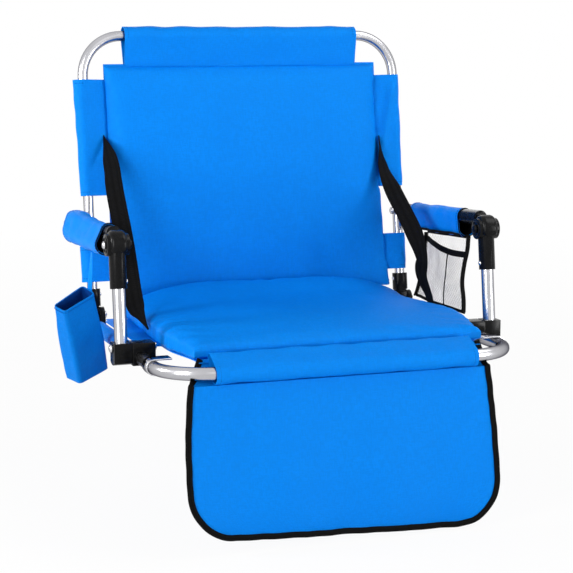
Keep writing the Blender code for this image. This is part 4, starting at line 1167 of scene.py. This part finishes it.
def straps():
    """The two webbing straps that stop the back: the left one taut, the right one slack and twisted."""
    left = [(-0.2376, 0.2450, 0.3100), (-0.2350, 0.2037, 0.2643), (-0.2385, 0.1758, 0.2399),
            (-0.2410, 0.1475, 0.2144), (-0.2430, 0.0881, 0.1515), (-0.2435, 0.0370, 0.0746),
            (-0.2405, 0.0095, 0.0550), (-0.2345, -0.0100, 0.0375)]
    right = [(0.2375, 0.2452, 0.3005), (0.2375, 0.2337, 0.2743), (0.2370, 0.2189, 0.2452),
             (0.2365, 0.1784, 0.2119), (0.2365, 0.1443, 0.1886), (0.2370, 0.0998, 0.1573),
             (0.2380, 0.0720, 0.1300), (0.2385, 0.0620, 0.1098), (0.2395, 0.0677, 0.0927),
             (0.2410, 0.0627, 0.0771), (0.2430, 0.0510, 0.0625), (0.2440, 0.0412, 0.0477),
             (0.2460, 0.0400, 0.0300)]
    turns = {"left": (50, 20, 6, 0, 0, 0, 10, 20),
             "right": (-84, -76, -50, -6, 0, 4, 40, 56, 52, 62, 71, 72, 60)}
    ends = {"left": (0.12, 0.29), "right": (0.06, 0.10)}
    for label, line in (("left", left), ("right", right)):
        points = [Vector(point) for point in line]
        across = []
        for i, point in enumerate(points):
            along = (points[min(i + 1, len(points) - 1)] - points[max(i - 1, 0)]).normalized()
            across.append(Matrix.Rotation(radians(turns[label][i]), 3, along) @ STRAP_FACING.cross(along))
        top, foot = ends[label]
        bm = ribbon(points, across, STRAP_W, STRAP_T, 110,
                    lambda u: mix(STRAP_TIP, 1.0, ease(min(u / top, (1 - u) / foot))))
        made = piece(label + "_webbing", bm, WEB, None, (label + "_strap",))
        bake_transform(made)


POCKET_SPAN = (0.064, 0.228)
POCKET_LOW = 0.028
POCKET_RIM = (0.1210, 0.1205, 0.1232, 0.1278, 0.1300)
POCKET_OUT = 0.2985
POCKET_NET = {"outer": (0.0066, 0.00040), "inner": (0.0062, 0.00085)}


def pocket_point(layer, u, v):
    """A point of the mesh pocket: the outer sheet hangs from the cover and the inner one from its rim."""
    reach = mix(*POCKET_SPAN, u)
    hang = arm_line(1, reach).z - 0.0350
    belly = sin(pi * u)
    if layer == "outer":
        top = hang
        x = POCKET_OUT - 0.001
    else:
        top = through(POCKET_RIM, u)
        x = POCKET_OUT - 0.003 - 0.010 * belly * (0.35 + 0.65 * v)
    z = mix(POCKET_LOW, top, v)
    hung = (hang - z) / (hang - POCKET_LOW)
    reach += (1 - u) * (0.0225 * ease(hung / 0.55) - 0.009 * ease((hung - 0.58) / 0.42))
    y = KNUCKLE.y + reach + u * 0.040 * max(0.0, hung) ** 2
    wave = 0.0022 * ripple((y, z, 0.0), 0.035, 3.0 if layer == "outer" else 8.0)
    return Vector((x + wave, y, z))


def net(name, layer):
    """Knitted net: a grid turned to diamonds, with each thread a thin bar."""
    cell, yarn = POCKET_NET[layer]
    wide = int((POCKET_SPAN[1] - POCKET_SPAN[0]) / cell)
    tall = int((POCKET_RIM[0] - POCKET_LOW) / cell)
    bm = mapped_grid(wide, tall, lambda u, v: pocket_point(layer, u, v))
    old = list(bm.edges)
    bmesh.ops.poke(bm, faces=list(bm.faces))
    inner = [edge for edge in old if edge.is_valid and len(edge.link_faces) == 2]
    bmesh.ops.dissolve_edges(bm, edges=inner, use_verts=False)
    made = placed(name + "_sheet", as_mesh(name + "_sheet", bm))
    threads = made.modifiers.new("threads", "WIREFRAME")
    threads.thickness = yarn
    threads.use_even_offset = False
    threads.use_boundary = True
    return taken_out(made)


def mesh_pocket():
    """A white mesh pocket under the right arm, bound with black tape, its mouth towards the sitter."""
    pieces = [piece("pocket_net", merged([net("outer_net", "outer"), net("inner_net", "inner")]), NET,
                    "right_arm", ("mesh_pocket",), smooth=None, recalc=False)]

    def tape(name, spots, way, width, thick, nodes=()):
        strip = ribbon(spots, [way] * len(spots), width, thick, TAPE_CELLS)
        pieces.append(piece(name, strip, TAPE, "right_arm", nodes))

    steps = [i / TAPE_STEPS for i in range(TAPE_STEPS + 1)]
    tape("pocket_rim", [pocket_point("inner", u, 1.0) for u in steps], Z, 0.0100, 0.0024)
    hang = [pocket_point("outer", u, 1.0) + Z * 0.0015 for u in steps]
    tape("pocket_hanging_edge", hang, Z, 0.0060, 0.0022)
    for part, u in (("front", 0.0), ("rear", 1.0)):
        edge = []
        for v in steps:
            sway = 0.0016 * ripple((0.0, v * 4.0, u), 1.0, 5.0)
            edge.append(pocket_point("outer", u, v) + Y * sway - X * 0.003)
        tape("pocket_" + part + "_edge", edge, X + Y * 0.4, 0.0085, 0.0030,
             ("mesh_pocket_" + part + "_hem",))
    tape("pocket_floor_edge", [pocket_point("inner", u, 0.0) for u in steps], Z, 0.0050, 0.0030)
    seam = [pocket_point("inner", 0.38 - 0.06 * v + 0.014 * sin(9.0 * v), v) - X * 0.0004 for v in steps]
    tape("pocket_seam", seam, Y, 0.0030, 0.0010)
    for part in pieces:
        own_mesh(part)


FLAP_TOP_HALF = 0.228
FLAP_HALF = 0.238
FLAP_DROP = 0.2302
FLAP_RISE = 0.046
FLAP_CLEAR = 0.0018
FLAP_RISE_TAPER = 0.27
FLAP_CORNER = 0.070
FLAP_ROUND = FRONT_LOOP[1] + FLAP_CLEAR
FLAP_TOP = FRONT_LOOP[0][1] - FLAP_ROUND
FLAP_WRAPPED = radians(52.4)
FLAP_SKEW = 0.0095
FLAP_SHIFT = -0.0095
FLAP_WAVE = 0.0045
FLAP_WAVES = 1.5
FLAP_RIPPLE = 0.0022
BINDING_W = 0.0088
BINDING_T = 0.0042
BINDING_RIPPLE = 0.0011


def flap_half(drop, inset=0.0):
    """Half the flap's width at a depth below its top, inside its binding by the inset."""
    if drop < 0:
        return FLAP_TOP_HALF + FLAP_RISE_TAPER * drop - inset
    corner = FLAP_CORNER - inset
    straight = FLAP_DROP - FLAP_CORNER
    share = min(1.0, drop / straight)
    half = mix(FLAP_TOP_HALF, FLAP_HALF, share * (2 - share)) - inset
    if drop > straight:
        turn = asin(min(1.0, (drop - straight) / corner))
        half -= corner * (1 - cos(turn))
    return half


def flap_point(x, drop):
    """Where a point of the flat flap hangs: up behind the front bar, then down in a soft wave."""
    if drop < 0:
        turn = min(-drop / FLAP_ROUND, FLAP_WRAPPED)
        rest = -drop - turn * FLAP_ROUND
        y = FRONT_LOOP[0][0] + FLAP_ROUND * sin(turn) + rest * cos(turn)
        z = FRONT_LOOP[0][1] - FLAP_ROUND * cos(turn) + rest * sin(turn)
        return Vector((x + FLAP_SHIFT * (1 + drop / FLAP_RISE), y, z))
    share = drop / FLAP_DROP
    wave = -FLAP_WAVE * share * (1 - cos(tau * FLAP_WAVES * x / FLAP_HALF)) / 2
    wave += FLAP_RIPPLE * share * ripple((x, drop, 0.0), 0.11, 2.0)
    return Vector((x + FLAP_SHIFT * (1 - ease(share)), FRONT_LOOP[0][0] + wave,
                   FLAP_TOP - drop - FLAP_SKEW * share * x / FLAP_HALF))


def flap():
    """The cloth flap that hangs in front of the bench, bound with black tape on three sides."""
    inset = BINDING_W / 2
    depth = FLAP_DROP - inset

    def place(u, v):
        drop = mix(-FLAP_RISE, depth, sin(v * pi / 2))
        return flap_point((2 * u - 1) * flap_half(drop, inset), drop)

    bm = mapped_grid(110, 120, place)
    area = sum(face.calc_area() for face in bm.faces)
    made = piece("flap_cloth", thickened(bm, 0.0013), BLUE, None, ("flap_panel",), recalc=False)

    straight = FLAP_DROP - FLAP_CORNER
    side = [(flap_half(drop, inset), drop) for drop in (-FLAP_RISE * (1 - i / 8) for i in range(8))]
    side += [(flap_half(straight * i / 20, inset), straight * i / 20) for i in range(21)]
    corner_r = FLAP_CORNER - inset
    middle_x = FLAP_HALF - FLAP_CORNER
    for i in range(1, 17):
        turn = (pi / 2) * i / 16
        side.append((middle_x + corner_r * cos(turn), straight + corner_r * sin(turn)))
    foot = [(middle_x * (1 - 2 * i / 36), straight + corner_r) for i in range(1, 36)]
    line = side + foot + [(-x, drop) for x, drop in reversed(side)]
    points = [flap_point(x, drop) for x, drop in line]
    across = []
    for i in range(len(line)):
        ahead, behind = points[min(i + 1, len(line) - 1)], points[max(i - 1, 0)]
        across.append((ahead - behind).normalized().cross(Y).normalized())
    waved = [point + way * (BINDING_RIPPLE * ripple(point, 0.022, 6.0))
             for point, way in zip(points, across)]
    binding = piece("flap_edging", ribbon(waved, across, BINDING_W, BINDING_T, 460), TAPE, None,
                    ("flap_binding",))
    for part in (made, binding):
        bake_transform(part)


FLOOR_NEAR = 0.7
FLOOR_FAR = 3.5
FLOOR_WHITE = 0.93
FLOOR_CLEAR = 0.012
FLOOR_SIZE = 30.0
SKY_LIGHT = 0.20
LAMPS_AIM = Vector((0, 0.05, 0.15))
CAMERA_AT = (-0.8686, -2.4117, 0.4841)
CAMERA_YAW = radians(19.51)
CAMERA_PITCH = radians(8.78)
CAMERA_LENS = 106.81
CAMERA_SENSOR = 36.0
LAMPS = (("left", (-2.0, -1.35, 0.75), (0.7, 1.9), 36.0),
         ("right", (1.75, -1.75, 0.35), (0.6, 1.1), 28.0),
         ("front", (0.3, -2.9, 1.5), (1.9, 1.9), 4.0),
         ("top", (1.1, -0.5, 1.9), (1.2, 1.2), 19.0),
         ("rear", (0.6, 2.8, 1.4), (1.8, 1.8), 14.0),
         ("side", (-1.7, 0.15, 0.65), (0.4, 0.4), 14.0))


def seen_directly(tree):
    """One for what the camera, a reflection or a clear surface sees, and nought for what only lights."""
    rays = add(tree, "LightPath").outputs
    seen = add(tree, "Math", {0: rays["Is Camera Ray"], 1: rays["Is Glossy Ray"]}, operation="MAXIMUM")
    seen = add(tree, "Math", {0: seen.outputs[0], 1: rays["Is Transmission Ray"]}, operation="MAXIMUM")
    return seen.outputs[0]


def studio():
    """A pale floor, soft lamps on all sides and above, and the camera of the photograph."""
    scene = bpy.context.scene
    scene.view_settings.view_transform = "Standard"
    floor_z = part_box("flap_binding")[0][2] - FLOOR_CLEAR
    bm = bmesh.new()
    bmesh.ops.create_grid(bm, x_segments=1, y_segments=1, size=FLOOR_SIZE)
    bmesh.ops.translate(bm, verts=bm.verts, vec=(0, 0, floor_z))
    made = placed("floor", as_mesh("floor", bm))
    paint = bpy.data.materials.new("pale_floor")
    paint.use_nodes = True
    tree = paint.node_tree
    shader = tree.nodes["Principled BSDF"]
    shader.inputs["Base Color"].default_value = (0.85, 0.85, 0.85, 1.0)
    shader.inputs["Roughness"].default_value = 0.9
    spot = add(tree, "TexCoord").outputs["Object"]
    away = add(tree, "VectorMath", {0: spot}, operation="LENGTH").outputs["Value"]
    white = ranged(tree, away, FLOOR_NEAR, FLOOR_FAR, FLOOR_WHITE, 1.0)
    share = add(tree, "Math", {0: seen_directly(tree), 1: white}, operation="MULTIPLY")
    glow = add(tree, "Emission", {"Color": (1, 1, 1, 1), "Strength": 1.0})
    both = add(tree, "MixShader", {0: share.outputs[0], 1: shader.outputs[0], 2: glow.outputs[0]})
    tree.links.new(both.outputs[0], tree.nodes["Material Output"].inputs["Surface"])
    made.data.materials.append(paint)

    world = bpy.data.worlds.new("studio")
    scene.world = world
    world.use_nodes = True
    tree = world.node_tree
    sky = tree.nodes["Background"]
    sky.inputs["Color"].default_value = (1, 1, 1, 1)
    tree.links.new(ranged(tree, seen_directly(tree), 0.0, 1.0, SKY_LIGHT, 1.0), sky.inputs["Strength"])

    for name, place, size, power in LAMPS:
        lamp = bpy.data.lights.new(name, "AREA")
        lamp.shape = "RECTANGLE"
        lamp.size, lamp.size_y = size
        lamp.energy = power
        holder = placed(name, lamp)
        holder.location = place
        holder.rotation_euler = (LAMPS_AIM - Vector(place)).to_track_quat("-Z", "Y").to_euler()

    data = bpy.data.cameras.new("photo_view")
    data.sensor_width = CAMERA_SENSOR
    data.lens = CAMERA_LENS
    camera = placed("photo_view", data)
    camera.location = CAMERA_AT
    level = cos(CAMERA_PITCH)
    look = Vector((sin(CAMERA_YAW) * level, cos(CAMERA_YAW) * level, -sin(CAMERA_PITCH)))
    camera.rotation_euler = look.to_track_quat("-Z", "Y").to_euler()
    scene.camera = camera


studio()
tubes()
fittings()
slings()
wraps()
back_cushion()
seat_cushion()
straps()
arm_covers()
pouch()
mesh_pocket()
flap()
